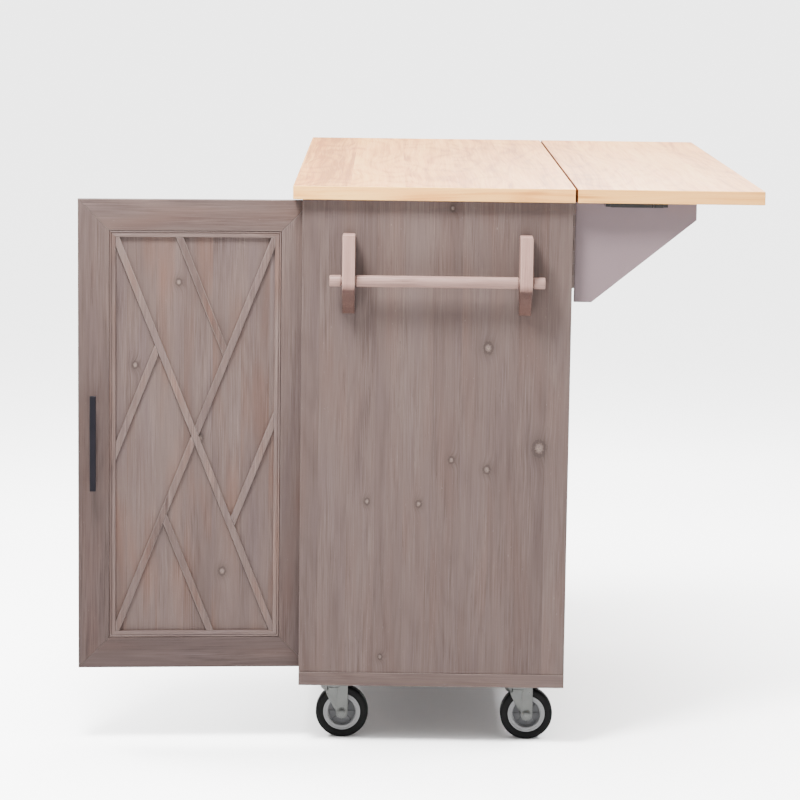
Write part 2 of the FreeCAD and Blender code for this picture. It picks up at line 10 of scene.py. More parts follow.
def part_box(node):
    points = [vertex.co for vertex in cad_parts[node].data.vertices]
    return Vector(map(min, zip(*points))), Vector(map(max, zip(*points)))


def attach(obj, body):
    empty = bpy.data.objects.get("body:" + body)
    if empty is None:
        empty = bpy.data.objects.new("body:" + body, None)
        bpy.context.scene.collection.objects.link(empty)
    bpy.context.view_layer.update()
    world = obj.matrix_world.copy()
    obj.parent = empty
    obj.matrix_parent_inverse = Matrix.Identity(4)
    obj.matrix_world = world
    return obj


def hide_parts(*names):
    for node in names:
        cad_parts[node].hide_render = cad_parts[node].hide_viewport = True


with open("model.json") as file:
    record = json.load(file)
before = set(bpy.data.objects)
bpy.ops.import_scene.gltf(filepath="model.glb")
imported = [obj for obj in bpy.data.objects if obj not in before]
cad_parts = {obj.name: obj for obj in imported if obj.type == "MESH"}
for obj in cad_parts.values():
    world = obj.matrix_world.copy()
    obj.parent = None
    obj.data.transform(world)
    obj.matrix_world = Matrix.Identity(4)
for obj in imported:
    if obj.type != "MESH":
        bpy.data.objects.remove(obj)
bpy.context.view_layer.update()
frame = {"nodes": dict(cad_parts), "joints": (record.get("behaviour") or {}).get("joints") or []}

print("frame loaded:", len(frame["nodes"]), "nodes")

mm = 0.001
flat = 0.4 * mm          # a line this far inside a rounded edge keeps the flat's shading flat
sharpAngle = math.radians(38)     # edges sharper than this break the shading
boardCount = 0           # every board gets its own number, so that no two have the same grain


def nodeBox(node):
    low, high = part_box(node)
    return np.array(low), np.array(high)


def nextBoard():
    global boardCount
    boardCount += 1
    return boardCount


# ---- surfaces as whole arrays

# Quads between neighbouring rows and columns of a grid of points, wrapping round where closed.
def gridFaces(rows, columns, closedRows=False, closedColumns=False, start=0):
    row = np.arange(rows if closedRows else rows - 1)
    column = np.arange(columns if closedColumns else columns - 1)
    a, b = (part.ravel() for part in np.meshgrid(row, column, indexing="ij"))
    c, d = (a + 1) % rows, (b + 1) % columns
    return start + np.stack([a * columns + b, a * columns + d, c * columns + d, c * columns + b], 1)


# Points nearer than a micrometre become one, and a face loses the corners it then repeats.
# The rub values, where there are any, stay with their points.
def weld(points, faces, rub=None):
    _, first, index = np.unique(np.round(points, 6), axis=0, return_index=True, return_inverse=True)
    index = index.ravel()
    kept = [tuple(dict.fromkeys(index[list(face)].tolist())) for face in faces]
    welded = points[first], [face for face in kept if len(face) > 2]
    return welded if rub is None else (*welded, rub[first])


# Where each point lies in its board: distance along the grain, across it, and through it plus
# the board's number.  The longer of the two other sides counts as across.
def grainOf(points, along):
    low, size = points.min(0), np.ptp(points, axis=0)
    run = "xyz".index(along)
    across, through = sorted({0, 1, 2} - {run}, key=lambda i: -size[i])
    return (points - low)[:, [run, across, through]] + [0, 0, nextBoard()]


def newShape(points, faces, along="z", rub=None, ends=None):
    rub = np.zeros(len(points)) if rub is None else rub
    ends = np.zeros(len(faces)) if ends is None else ends
    return {"points": points, "faces": [tuple(face) for face in faces],
            "grain": grainOf(points, along), "rub": rub, "ends": ends}


# A box with rounded edges.  Each side is a grid on the plain box, and a point there moves to
# core + radius * unit(point - core), where core is the point held radius inside every side.
def softBox(low, high, radius, along="x", banded=False, steps=3):
    low, high = np.array(low, float), np.array(high, float)
    centre, half = (low + high) / 2, (high - low) / 2
    core = half - radius
    arc = radius * np.tan(np.linspace(0, math.pi / 4, steps + 1))
    lines = [np.concatenate([-(c + arc)[::-1], [min(flat, c / 2) - c, c - min(flat, c / 2)], c + arc])
             for c in core]
    grids, faces, ends, count = [], [], [], 0
    for axis in range(3):
        b, c = (axis + 1) % 3, (axis + 2) % 3
        u, v = np.meshgrid(lines[b], lines[c], indexing="ij")
        for side in (-1, 1):
            grid = np.empty(u.shape + (3,))
            grid[..., axis], grid[..., b], grid[..., c] = side * half[axis], u, v
            grids.append(grid.reshape(-1, 3))
            quads = gridFaces(*u.shape, start=count)
            faces.append(quads)
            ends.append(np.full(len(quads), float(banded and axis == "xyz".index(along))))
            count += u.size
    plain = np.concatenate(grids)
    inner = np.clip(plain, -core, core)
    out = plain - inner
    points = centre + inner + radius * out / np.linalg.norm(out, axis=1)[:, None]
    points, quads, rub = weld(points, np.concatenate(faces), np.sort(np.abs(out), axis=1)[:, 1] / radius)
    return newShape(points, quads, along, rub, np.concatenate(ends))


def anticlockwise(outline):
    outline = np.array(outline, float)
    after = np.roll(outline, -1, axis=0)
    area = (outline[:, 0] * after[:, 1] - after[:, 0] * outline[:, 1]).sum()
    return outline if area > 0 else outline[::-1]


# Inward normals of an anticlockwise outline's edges, each at the corner where the edge starts.
def edgeNormals(outline):
    edge = np.roll(outline, -1, axis=0) - outline
    edge /= np.linalg.norm(edge, axis=1)[:, None]
    return np.stack([-edge[:, 1], edge[:, 0]], 1)


# Each corner moves in by distance * (n1 + n2) / (1 + n1.n2), n1 and n2 its edges' normals.
def insetOutline(outline, distance):
    normal = edgeNormals(outline)
    before = np.roll(normal, 1, axis=0)
    shift = (normal + before) / (1 + (normal * before).sum(1))[:, None]
    return outline + distance * shift


# Each corner becomes an arc: centre + radius * unit(a direction that turns from one edge's
# outward normal to the next one's).  A radius of 0 leaves its corner as it is.
def roundCorners(outline, radii, steps=4):
    outline = anticlockwise(outline)
    radii = np.broadcast_to(radii, len(outline))[:, None]
    normal = edgeNormals(outline)
    before = np.roll(normal, 1, axis=0)
    centre = outline + radii * (normal + before) / (1 + (normal * before).sum(1))[:, None]
    share = np.linspace(0, 1, steps + 1)[None, :, None]
    turn = -(before[:, None] * (1 - share) + normal[:, None] * share)
    turn /= np.linalg.norm(turn, axis=2)[:, :, None]
    points = (centre[:, None] + radii[:, None] * turn).reshape(-1, 2)
    return points[np.linalg.norm(points - np.roll(points, 1, axis=0), axis=1) > 1e-7]


# Keeps the part of a convex outline on the side that normal points to: corners inside stay,
# and an edge that crosses the line gives the point at d0 / (d0 - d1) of its length.
def clipOutline(outline, origin, normal):
    d = (outline - origin) @ np.array(normal)
    after, dAfter = np.roll(outline, -1, axis=0), np.roll(d, -1)
    share = d / np.where(d == dAfter, 1, d - dAfter)
    both = np.stack([outline, outline + (after - outline) * share[:, None]], 1).reshape(-1, 2)
    return both[np.stack([d >= 0, (d >= 0) != (dAfter >= 0)], 1).ravel()]


# A flat outline carried from near to far.  At each end it draws in by radius * (1 - sin a)
# over a depth of radius * (1 - cos a), with a from 0 to 90 degrees.
def softPrism(outline, near, far, radius, plane="xz", along="z", steps=2):
    outline = anticlockwise(outline)
    angle = np.linspace(0, math.pi / 2, steps + 1)
    inset = np.concatenate([[radius + flat], radius * (1 - np.sin(angle)), [0]])
    depth = np.concatenate([[0], radius * (1 - np.cos(angle)), [radius + flat]])
    rub = np.concatenate([[0], np.sin(2 * angle), [0]])
    inset, rub = np.concatenate([inset, inset[::-1]]), np.concatenate([rub, rub[::-1]])
    level = np.concatenate([near + depth, (far - depth)[::-1]])
    layers = outline + inset[:, None, None] * (insetOutline(outline, 1) - outline)
    rows, columns = layers.shape[:2]
    a, b = ("xyz".index(letter) for letter in plane)
    points = np.empty((rows, columns, 3))
    points[..., a], points[..., b] = layers[..., 0], layers[..., 1]
    points[..., 3 - a - b] = level[:, None]
    faces = gridFaces(rows, columns, closedColumns=True).tolist()
    faces += [list(range(columns)), list(range((rows - 1) * columns, rows * columns))]
    return newShape(points.reshape(-1, 3), faces, along, np.repeat(rub, columns))


# A profile of (distance along the axis, radius) turned round the axis through centre.
# It is either closed on itself or starts and ends on the axis.
def turnedShape(profile, centre, axis, turns=48, closed=False):
    profile = np.array(profile, float)
    angle = np.linspace(0, 2 * math.pi, turns, endpoint=False)[:, None]
    a = "xyz".index(axis)
    b, c = (a + 1) % 3, (a + 2) % 3
    points = np.empty((turns, len(profile), 3))
    points[..., a] = profile[:, 0]
    points[..., b] = profile[:, 1] * np.cos(angle)
    points[..., c] = profile[:, 1] * np.sin(angle)
    points = points.reshape(-1, 3) + np.array(centre, float)
    faces = gridFaces(turns, len(profile), closedRows=True, closedColumns=closed)
    return newShape(*weld(points, faces), axis)


# An arc of a profile from one angle to another, in degrees, for turnedShape.
def arcPoints(centre, radius, start, end, steps=5):
    angle = np.radians(np.linspace(start, end, steps + 1))
    return np.stack([centre[0] + radius * np.cos(angle), centre[1] + radius * np.sin(angle)], 1)


# A bent sheet: a grid of points, the same grid moved by the thickness, and quads round the rim.
def sheetShape(grid, thickness, along="z"):
    grid = np.array(grid, float)
    rows, columns = grid.shape[:2]
    points = np.concatenate([grid.reshape(-1, 3), (grid + np.array(thickness, float)).reshape(-1, 3)])
    one = gridFaces(rows, columns)
    index = np.arange(rows * columns).reshape(rows, columns)
    rim = np.concatenate([index[0, :-1], index[:-1, -1], index[-1, :0:-1], index[:0:-1, 0]])
    after = np.roll(rim, -1)
    skirt = np.stack([rim, after, after + rows * columns, rim + rows * columns], 1)
    return newShape(points, np.concatenate([one, one + rows * columns, skirt]), along)


# The pan of a cross-headed screw on a polar grid: the rise at each share of the radius, less a
# recess of 0.55 of the height where the point is within half a slot of either arm's line.
def screwHead(centre, axis, radius, height, outward=1, turns=24):
    share = np.array([0, 0.12, 0.3, 0.42, 0.5, 0.75, 0.93, 1, 1])
    rise = height * np.array([1, 0.99, 0.97, 0.94, 0.92, 0.8, 0.55, 0.25, 0])
    angle = np.linspace(0, 2 * math.pi, turns, endpoint=False)[:, None]
    u, v = share * np.cos(angle), share * np.sin(angle)
    slot = (np.minimum(np.abs(u), np.abs(v)) < 0.13) & (share < 0.45)
    a = "xyz".index(axis)
    points = np.empty(u.shape + (3,))
    points[..., a] = outward * (rise - 0.55 * height * slot)
    points[..., (a + 1) % 3], points[..., (a + 2) % 3] = radius * u, radius * v
    points = points.reshape(-1, 3) + np.array(centre, float)
    faces = gridFaces(turns, len(share), closedRows=True).tolist()
    faces.append((np.arange(turns) * len(share) + len(share) - 1).tolist())
    return newShape(*weld(points, faces), axis)


# ---- pieces

def newObject(name, data):
    made = bpy.data.objects.new(name, data)
    bpy.context.scene.collection.objects.link(made)
    return made


# A mesh from points and faces, with the faces turned outwards.
def newMesh(name, points, faces):
    mesh = bpy.data.meshes.new(name)
    mesh.from_pydata(points.tolist(), [], faces)
    work = bmesh.new()
    work.from_mesh(mesh)
    bmesh.ops.recalc_face_normals(work, faces=work.faces)
    work.to_mesh(mesh)
    work.free()
    return mesh


# One mesh from several closed shapes, with the grain, rub and ends values that the wood
# finishes read.
def makePiece(name, shapes, body, finish, replaced=()):
    count, faces = 0, []
    for one in shapes:
        faces += [tuple(count + index for index in face) for face in one["faces"]]
        count += len(one["points"])
    mesh = newMesh(name, np.concatenate([one["points"] for one in shapes]), faces)
    for label, kind, domain, field in (("grain", "FLOAT_VECTOR", "POINT", "vector"),
                                       ("rub", "FLOAT", "POINT", "value"),
                                       ("ends", "FLOAT", "FACE", "value")):
        values = np.concatenate([one[label] for one in shapes]).astype(np.float32)
        mesh.attributes.new(label, kind, domain).data.foreach_set(field, values.ravel())
    mesh.polygons.foreach_set("use_smooth", np.ones(len(mesh.polygons), bool))
    mesh.set_sharp_from_angle(angle=sharpAngle)
    mesh.materials.append(finish)
    piece = newObject(name, mesh)
    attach(piece, body)
    if replaced:
        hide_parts(*replaced)
    return piece


# Takes the cutters' room out of a piece, and removes the cutters.
def carve(piece, shapes):
    cutters = [newObject("cutter", newMesh("cutter", one["points"], one["faces"])) for one in shapes]
    for cutter in cutters:
        modifier = piece.modifiers.new("room", "BOOLEAN")
        modifier.object, modifier.solver = cutter, "EXACT"
    bpy.context.view_layer.update()
    graph = bpy.context.evaluated_depsgraph_get()
    piece.data = bpy.data.meshes.new_from_object(piece.evaluated_get(graph), depsgraph=graph)
    piece.modifiers.clear()
    for cutter in cutters:
        bpy.data.objects.remove(cutter)


# ---- finishes: small helpers for the shader trees

def isSocket(value):
    return isinstance(value, bpy.types.NodeSocket)


# Links or sets each of a node's named inputs.
def fill(node, inputs):
    for label, value in inputs.items():
        if isSocket(value):
            node.id_data.links.new(value, node.inputs[label])
        else:
            node.inputs[label].default_value = value
    return node


# Adds a node to the tree that its inputs come from.
def addNode(kind, inputs, **settings):
    tree = next(value.id_data for value in inputs.values() if isSocket(value))
    node = tree.nodes.new("ShaderNode" + kind)
    for setting, value in settings.items():
        setattr(node, setting, value)
    return fill(node, inputs)


def calc(operation, *values):
    return addNode("Math", dict(enumerate(values)), operation=operation).outputs[0]


def plus(first, second):
    return calc("ADD", first, second)


def minus(first, second):
    return calc("SUBTRACT", first, second)


def times(first, second):
    return calc("MULTIPLY", first, second)


# A value about a half, swung about nought instead, and weighted.
def swing(value, weight):
    return times(minus(value, 0.5), weight)


def vectorCalc(operation, *values):
    node = addNode("VectorMath", dict(enumerate(values)), operation=operation)
    return node.outputs["Value" if operation == "LENGTH" else "Vector"]


def split(vector):
    return addNode("SeparateXYZ", {0: vector}).outputs


def joined(x, y, z):
    return addNode("CombineXYZ", {0: x, 1: y, 2: z}).outputs[0]


# Noise at the point times scale, which is one number or a number for each axis.
def noise(vector, scale, detail=2, roughness=0.5):
    if not isinstance(scale, (int, float)):
        vector, scale = vectorCalc("MULTIPLY", vector, scale), 1
    return addNode("TexNoise", {"Vector": vector, "Scale": scale, "Detail": detail,
                                "Roughness": roughness}).outputs[0]


def ramp(value, stops):
    node = addNode("ValToRGB", {"Fac": value})
    elements = node.color_ramp.elements
    while len(elements) < len(stops):
        elements.new(0.5)
    for element, (position, colour) in zip(elements, stops):
        element.position = position
        element.color = (*colour, 1) if hasattr(colour, "__len__") else (colour,) * 3 + (1,)
    return node.outputs["Color"]


def mixed(share, first, second, blend="MIX"):
    first, second = (colour if isSocket(colour) else (*colour, 1) for colour in (first, second))
    return addNode("Mix", {0: share, 6: first, 7: second}, data_type="RGBA", blend_type=blend).outputs[2]


def remap(value, low, high, toLow=0, toHigh=1):
    return addNode("MapRange", {0: value, 1: low, 2: high, 3: toLow, 4: toHigh}).outputs[0]


def bump(height, distance, strength):
    return addNode("Bump", {"Height": height, "Distance": distance, "Strength": strength}).outputs[0]


def newFinish(name):
    finish = bpy.data.materials.new(name)
    finish.use_nodes = True
    tree = finish.node_tree
    return finish, tree, tree.nodes["Principled BSDF"]


def objectPlace(tree):
    return tree.nodes.new("ShaderNodeTexCoord").outputs["Object"]


# ---- finishes: wood

# waves in a metre along the grain, across it and through it, for each noise
waves = {"wander": (2.2, 7, 3), "slow": (1.7, 14, 2), "patch": (4, 24, 5), "cluster": (5, 34, 5),
         "specks": (150, 430, 300), "knot": 420}
# for every wood, the range of a noise over which its feature fades in
fade = {"cluster": (0.42, 0.64), "pores": (0.34, 0.26), "specks": (0.70, 0.78), "speckPatch": (0.45, 0.6),
        "warm": (0.5, 0.72), "cool": (0.46, 0.3), "heart": (0.4, 0.6), "worn": (0.3, 0.7),
        "roughness": (0.7, 1.3)}
stave = {"stagger": 0.37, "shift": 7, "jointHalf": 0.6 * mm, "seamShadeFade": 0.4 * mm}
# a knot is longer along the grain, and its ramps run from its heart to reach radii
knot = {"squash": 0.8, "hill": 8 * mm, "fall": 0.3, "uneven": 0.9, "reach": 3, "heartShare": 0.9,
        "rim": [(0, 0.1), (0.15, 0.25), (0.23, 0.95), (0.32, 1), (0.41, 0.4), (0.7, 0.12), (1, 0)],
        "heart": [(0, 1), (0.13, 0.8), (0.23, 0)]}
relief = {"fine": 0.6, "coarse": 0.25, "pores": 0.5, "joint": 0.6, "strength": 0.55}


def readAttribute(tree, label, output):
    node = tree.nodes.new("ShaderNodeAttribute")
    node.attribute_name = label
    return node.outputs[output]


# Wood by its grain values: glued staves of slightly different tone, slow mottling, growth
# rings, coarse and fine streaks that run along the grain, with the fine ones and the open pores
# in clusters, specks, listed knots that the streaks bend round, and arrises that the rub
# value lightens.  Painted shade darkens the colour towards the foot by Object Z, and a look
# may lighten the end grain or paint shade into a seam across Object Y.  Lengths in a look are metres.
def woodFinish(name, look, knots=()):
    finish, tree, shader = newFinish(name)
    plain = readAttribute(tree, "grain", "Vector")
    rub, ends = readAttribute(tree, "rub", "Fac"), readAttribute(tree, "ends", "Fac")
    run, across, through = split(plain)
    turned = addNode("Mix", {0: ends, 4: plain, 5: joined(across, through, run)},
                     data_type="VECTOR").outputs[1]
    run, across, through = split(turned)
    board = calc("FLOOR", through)

    # staves: a number for each strip across the board, and a thin line where two meet
    strip = plus(calc("DIVIDE", across, look["stave"]), times(board, stave["stagger"]))
    chance = addNode("TexWhiteNoise", {0: joined(calc("FLOOR", strip), board, 0)},
                     noise_dimensions="2D").outputs["Value"]
    half = stave["jointHalf"] / look["stave"]
    joint = remap(calc("ABSOLUTE", minus(calc("FRACT", strip), 0.5)), 0.5 - half, 0.5)

    # the nearest knot, as a distance in knot radii
    nearest = None
    for knotRun, knotAcross, radius in knots:
        away = vectorCalc("SUBTRACT", turned, (knotRun, knotAcross, 0))
        away = vectorCalc("MULTIPLY", away, (knot["squash"] / radius, 1 / radius, 0))
        distance = vectorCalc("LENGTH", away)
        nearest = distance if nearest is None else calc("MINIMUM", nearest, distance)

    # the streaks' own coordinate across the board wanders, and rises like a hill at a knot,
    # whose outline a fine noise makes uneven
    shiftedRun = plus(run, times(chance, stave["shift"]))
    shifted = joined(shiftedRun, across, through)
    bent = plus(across, times(noise(shifted, waves["wander"]), look["wander"]))
    if nearest is not None:
        hill = calc("EXPONENT", times(calc("POWER", nearest, 2), -knot["fall"]))
        bent = plus(bent, times(hill, knot["hill"]))
        uneven = noise(turned, waves["knot"])
        nearest = plus(nearest, swing(uneven, knot["uneven"]))
    follow = joined(shiftedRun, bent, through)

    def streaks(kind, detail, roughness=0.55):
        width = 1 / look[kind + "Width"]
        return noise(follow, (1 / look[kind + "Length"], width, width), detail, roughness)

    coarse, fine, pores = streaks("coarse", 2), streaks("fine", 3, 0.6), streaks("pore", 1)
    slow = noise(shifted, waves["slow"], 3, 0.6)
    patch = noise(shifted, waves["patch"])

    # growth rings: level lines of a long, slow hill, close together only where the hill is steep
    hills = noise(follow, (look["ringRun"], look["ringAcross"], 3), 1)
    rings = calc("SINE", times(hills, look["ringCount"] * 2 * math.pi))
    rings = calc("POWER", times(plus(rings, 1), 0.5), 3)

    # fine lines show in clusters and fade out between them
    cluster = remap(noise(shifted, waves["cluster"]), *fade["cluster"], look["between"], 1)
    value = minus(0.5, times(rings, look["rings"]))
    for field, weight in ((coarse, look["coarse"]), (fine, times(cluster, look["fine"])),
                          (slow, look["slow"]), (chance, look["stavesDiffer"])):
        value = plus(value, swing(field, weight))
    colour = ramp(value, look["tones"])
    openPores = times(cluster, remap(pores, *fade["pores"]))
    specks = remap(noise(follow, waves["specks"]), *fade["specks"])
    specks = times(specks, remap(patch, *fade["speckPatch"], 0.1, 1))
    for share, tone, blend in (
            (remap(patch, *fade["warm"], 0, look["hue"]), look["warm"], "MULTIPLY"),
            (remap(patch, *fade["cool"], 0, look["hue"]), look["cool"], "MULTIPLY"),
            (times(openPores, look["pores"]), look["poreTone"], "MIX"),
            (times(specks, look["specks"]), look["speckTone"], "MIX"),
            (times(joint, look["jointLine"]), look["poreTone"], "MIX")):
        colour = mixed(share, colour, tone, blend)
    if nearest is not None:
        radii = calc("DIVIDE", nearest, knot["reach"])
        heart = times(ramp(radii, knot["heart"]), remap(uneven, *fade["heart"], 0.35, 1))
        colour = mixed(times(ramp(radii, knot["rim"]), look["knotRim"]), colour, look["knotTone"])
        colour = mixed(times(heart, knot["heartShare"]), colour, look["heartTone"])
    worn = times(rub, remap(patch, *fade["worn"], 0.35, 1))
    colour = mixed(times(worn, look["worn"]), colour, look["wornTone"])

    _, side, height = split(objectPlace(tree))
    # painted shade: darker towards the foot by Object Z, where less light falls
    foot = remap(height, *look["footRange"], look["foot"], 0)
    colour = mixed(foot, colour, look["footTone"], "MULTIPLY")
    if "edgeLift" in look:
        colour = mixed(ends, colour, look["edgeLift"], "MULTIPLY")
    # painted shade in the gap of a seam across Object Y
    if "seam" in look:
        middle, reach = look["seam"]
        paintedSeamShade = remap(calc("ABSOLUTE", minus(side, middle)), reach, reach + stave["seamShadeFade"], 1, 0)
        colour = mixed(paintedSeamShade, colour, look["poreTone"], "MULTIPLY")

    low, high = look["roughness"]
    rise = plus(times(fine, relief["fine"]), times(coarse, relief["coarse"]))
    rise = minus(minus(rise, times(openPores, relief["pores"])), times(joint, relief["joint"]))
    fill(shader, {"Base Color": colour, "Specular IOR Level": look["gloss"],
                  "Roughness": remap(plus(fine, slow), *fade["roughness"], high, low),
                  "Normal": bump(rise, look["relief"], relief["strength"])})
    return finish


stainedLook = {
    "stave": 0.046, "wander": 0.012, "coarseLength": 0.30, "coarseWidth": 0.0042,
    "fineLength": 0.075, "fineWidth": 0.0021, "poreLength": 0.016, "poreWidth": 0.0013,
    "coarse": 0.34, "fine": 1.3, "between": 0.25, "slow": 0.65, "stavesDiffer": 0.15,
    "rings": 0.07, "ringRun": 1.3, "ringAcross": 10, "ringCount": 16, "hue": 0.6,
    "tones": [(0.0, (0.022, 0.013, 0.011)), (0.3, (0.037, 0.024, 0.021)),
              (0.5, (0.048, 0.032, 0.028)), (0.72, (0.059, 0.041, 0.036)),
              (1.0, (0.081, 0.058, 0.052))],
    "warm": (1.03, 0.90, 0.84), "cool": (0.95, 0.96, 1.02),
    "pores": 0.5, "poreTone": (0.024, 0.015, 0.013), "specks": 0.55,
    "speckTone": (0.102, 0.079, 0.070), "jointLine": 0.15, "knotRim": 0.75,
    "knotTone": (0.018, 0.012, 0.010), "heartTone": (0.100, 0.074, 0.062), "worn": 0.55,
    # the foot values paint shade: the colour grows darker towards the bottom, where less light falls
    "wornTone": (0.089, 0.069, 0.062), "foot": 0.30, "footTone": (0.50, 0.46, 0.47),
    "footRange": (0.05, 0.75),
    "roughness": (0.50, 0.68), "relief": 0.0005, "gloss": 0.14,
}
pineLook = {
    **stainedLook, "stave": 0.088, "wander": 0.03, "coarseLength": 0.55, "coarseWidth": 0.010,
    "fineLength": 0.16, "fineWidth": 0.0032, "poreLength": 0.03, "poreWidth": 0.0016,
    "coarse": 1.0, "fine": 1.3, "between": 0.3, "slow": 1.0, "stavesDiffer": 0.45,
    "rings": 0.26, "ringRun": 1.6, "ringAcross": 7, "ringCount": 11, "hue": 0.8,
    "tones": [(0.0, (0.194, 0.071, 0.015)), (0.3, (0.285, 0.118, 0.027)), (0.5, (0.345, 0.154, 0.038)),
              (0.75, (0.373, 0.181, 0.049)), (1.0, (0.395, 0.208, 0.061))],
    "warm": (1.0, 0.90, 0.90), "cool": (0.98, 1.0, 0.86), "pores": 0.4,
    "poreTone": (0.194, 0.074, 0.016), "specks": 0.5, "speckTone": (0.415, 0.240, 0.085),
    "jointLine": 0.25, "knotRim": 0.6, "knotTone": (0.156, 0.051, 0.013),
    "heartTone": (0.279, 0.114, 0.030), "worn": 0.8, "wornTone": (0.415, 0.246, 0.087),
    "roughness": (0.38, 0.50), "relief": 0.0002, "gloss": 0.12,
    "foot": 0.0, "edgeLift": (1.16, 1.30, 1.48),
}
drawerLook = {
    **pineLook, "roughness": (0.50, 0.64), "gloss": 0.2,
    "tones": [(0.0, (0.270, 0.165, 0.085)), (0.3, (0.365, 0.252, 0.147)), (0.5, (0.440, 0.320, 0.207)),
              (0.75, (0.487, 0.373, 0.260)), (1.0, (0.533, 0.433, 0.320))],
}
railLook = {
    **stainedLook, "stave": 0.5, "hue": 0.3, "stavesDiffer": 0.1, "slow": 1.3, "worn": 0.5,
    "tones": [(0.0, (0.076, 0.042, 0.034)), (0.3, (0.122, 0.070, 0.058)), (0.5, (0.156, 0.092, 0.077)),
              (0.75, (0.198, 0.122, 0.103)), (1.0, (0.251, 0.161, 0.135))],
    "poreTone": (0.068, 0.037, 0.029), "speckTone": (0.289, 0.201, 0.167),
    "wornTone": (0.251, 0.174, 0.146), "roughness": (0.45, 0.60),
}
frameLook = {**stainedLook, "stave": 0.5, "stavesDiffer": 0.3, "foot": 0.0}
doorLook = {**stainedLook, "hue": 1.0, "warm": (1.10, 0.88, 0.76), "fine": 1.7, "slow": 0.9}


# The look with every tone times the factor, and any other change.
def toned(look, factor, **changes):
    tones = [(place, tuple(factor * part for part in tone)) for place, tone in look["tones"]]
    return {**look, "tones": tones, **changes}


# knots as height above the panel's foot, distance from its front edge, radius
panelKnots = [(0.764, 0.241, 0.0045), (0.539, 0.302, 0.008), (0.376, 0.387, 0.011),
              (0.355, 0.245, 0.005), (0.340, 0.303, 0.006), (0.285, 0.109, 0.0045),
              (0.282, 0.193, 0.005), (0.027, 0.133, 0.004)]
doorKnots = [(0.115, 0.190, 0.006), (0.455, 0.048, 0.005), (0.335, 0.152, 0.007), (0.590, 0.118, 0.005)]
leftKnots = [(0.660, 0.120, 0.008), (0.430, 0.330, 0.010), (0.210, 0.180, 0.006), (0.150, 0.372, 0.005)]
topKnots = [(0.310, 0.090, 0.007), (0.820, 0.290, 0.009)]

stained = woodFinish("weatheredStain", stainedLook)
stainedPanel = woodFinish("weatheredStainRightEnd", stainedLook, panelKnots)
stainedLeft = woodFinish("weatheredStainLeftEnd", stainedLook, leftKnots)
stainedDoor = woodFinish("weatheredStainDoorPanel", doorLook, doorKnots)
stainedFrame = woodFinish("weatheredStainRail", frameLook)
# the door frame: strong painted shade towards its foot
stainedMembers = woodFinish("weatheredStainDoorFramePaintedShade", {**frameLook, "foot": 0.85, "hue": 0.9, "fine": 1.7})
# lattice and moulding: lighter tones, and arrises that lighten strongly all round, partly rubbed wear and
# partly a painted highlight
stainedBars = woodFinish("weatheredStainLattice", toned(
    frameLook, 1.16, foot=0.35, worn=1.0, hue=1.0, fine=2.2, warm=(1.12, 0.90, 0.78)))
# the bracket darkens below the rail by Object Z: painted shadow of the rail and the sloping underside
limedBracketPaintedShadow = woodFinish("limedStainBracketPaintedShadow", toned(
    railLook, 1.10, foot=1.0, footRange=(0.755, 0.768), footTone=(0.22, 0.18, 0.17)))
# the rail is a darker copy of the brackets' wood: painted shade for the rail's shaded lower half
limedBar = woodFinish("limedStainTowelRail", toned(railLook, 0.8, foot=0.0))
# the two edges that meet at the drop leaf's seam are darkened: painted shade in the gap between them
seamNear, seamFar = nodeBox("worktop")[1][1], nodeBox("leaf")[0][1]
seam = ((seamNear + seamFar) / 2, (seamFar - seamNear) / 2 + 0.7 * mm)
pineTop = woodFinish("lacqueredPine", {**pineLook, "seam": seam}, topKnots)
drawerPine = woodFinish("bareDrawerPine", drawerLook)
print("wood finishes made")


# ---- finishes: paint, metal, plastic and rubber

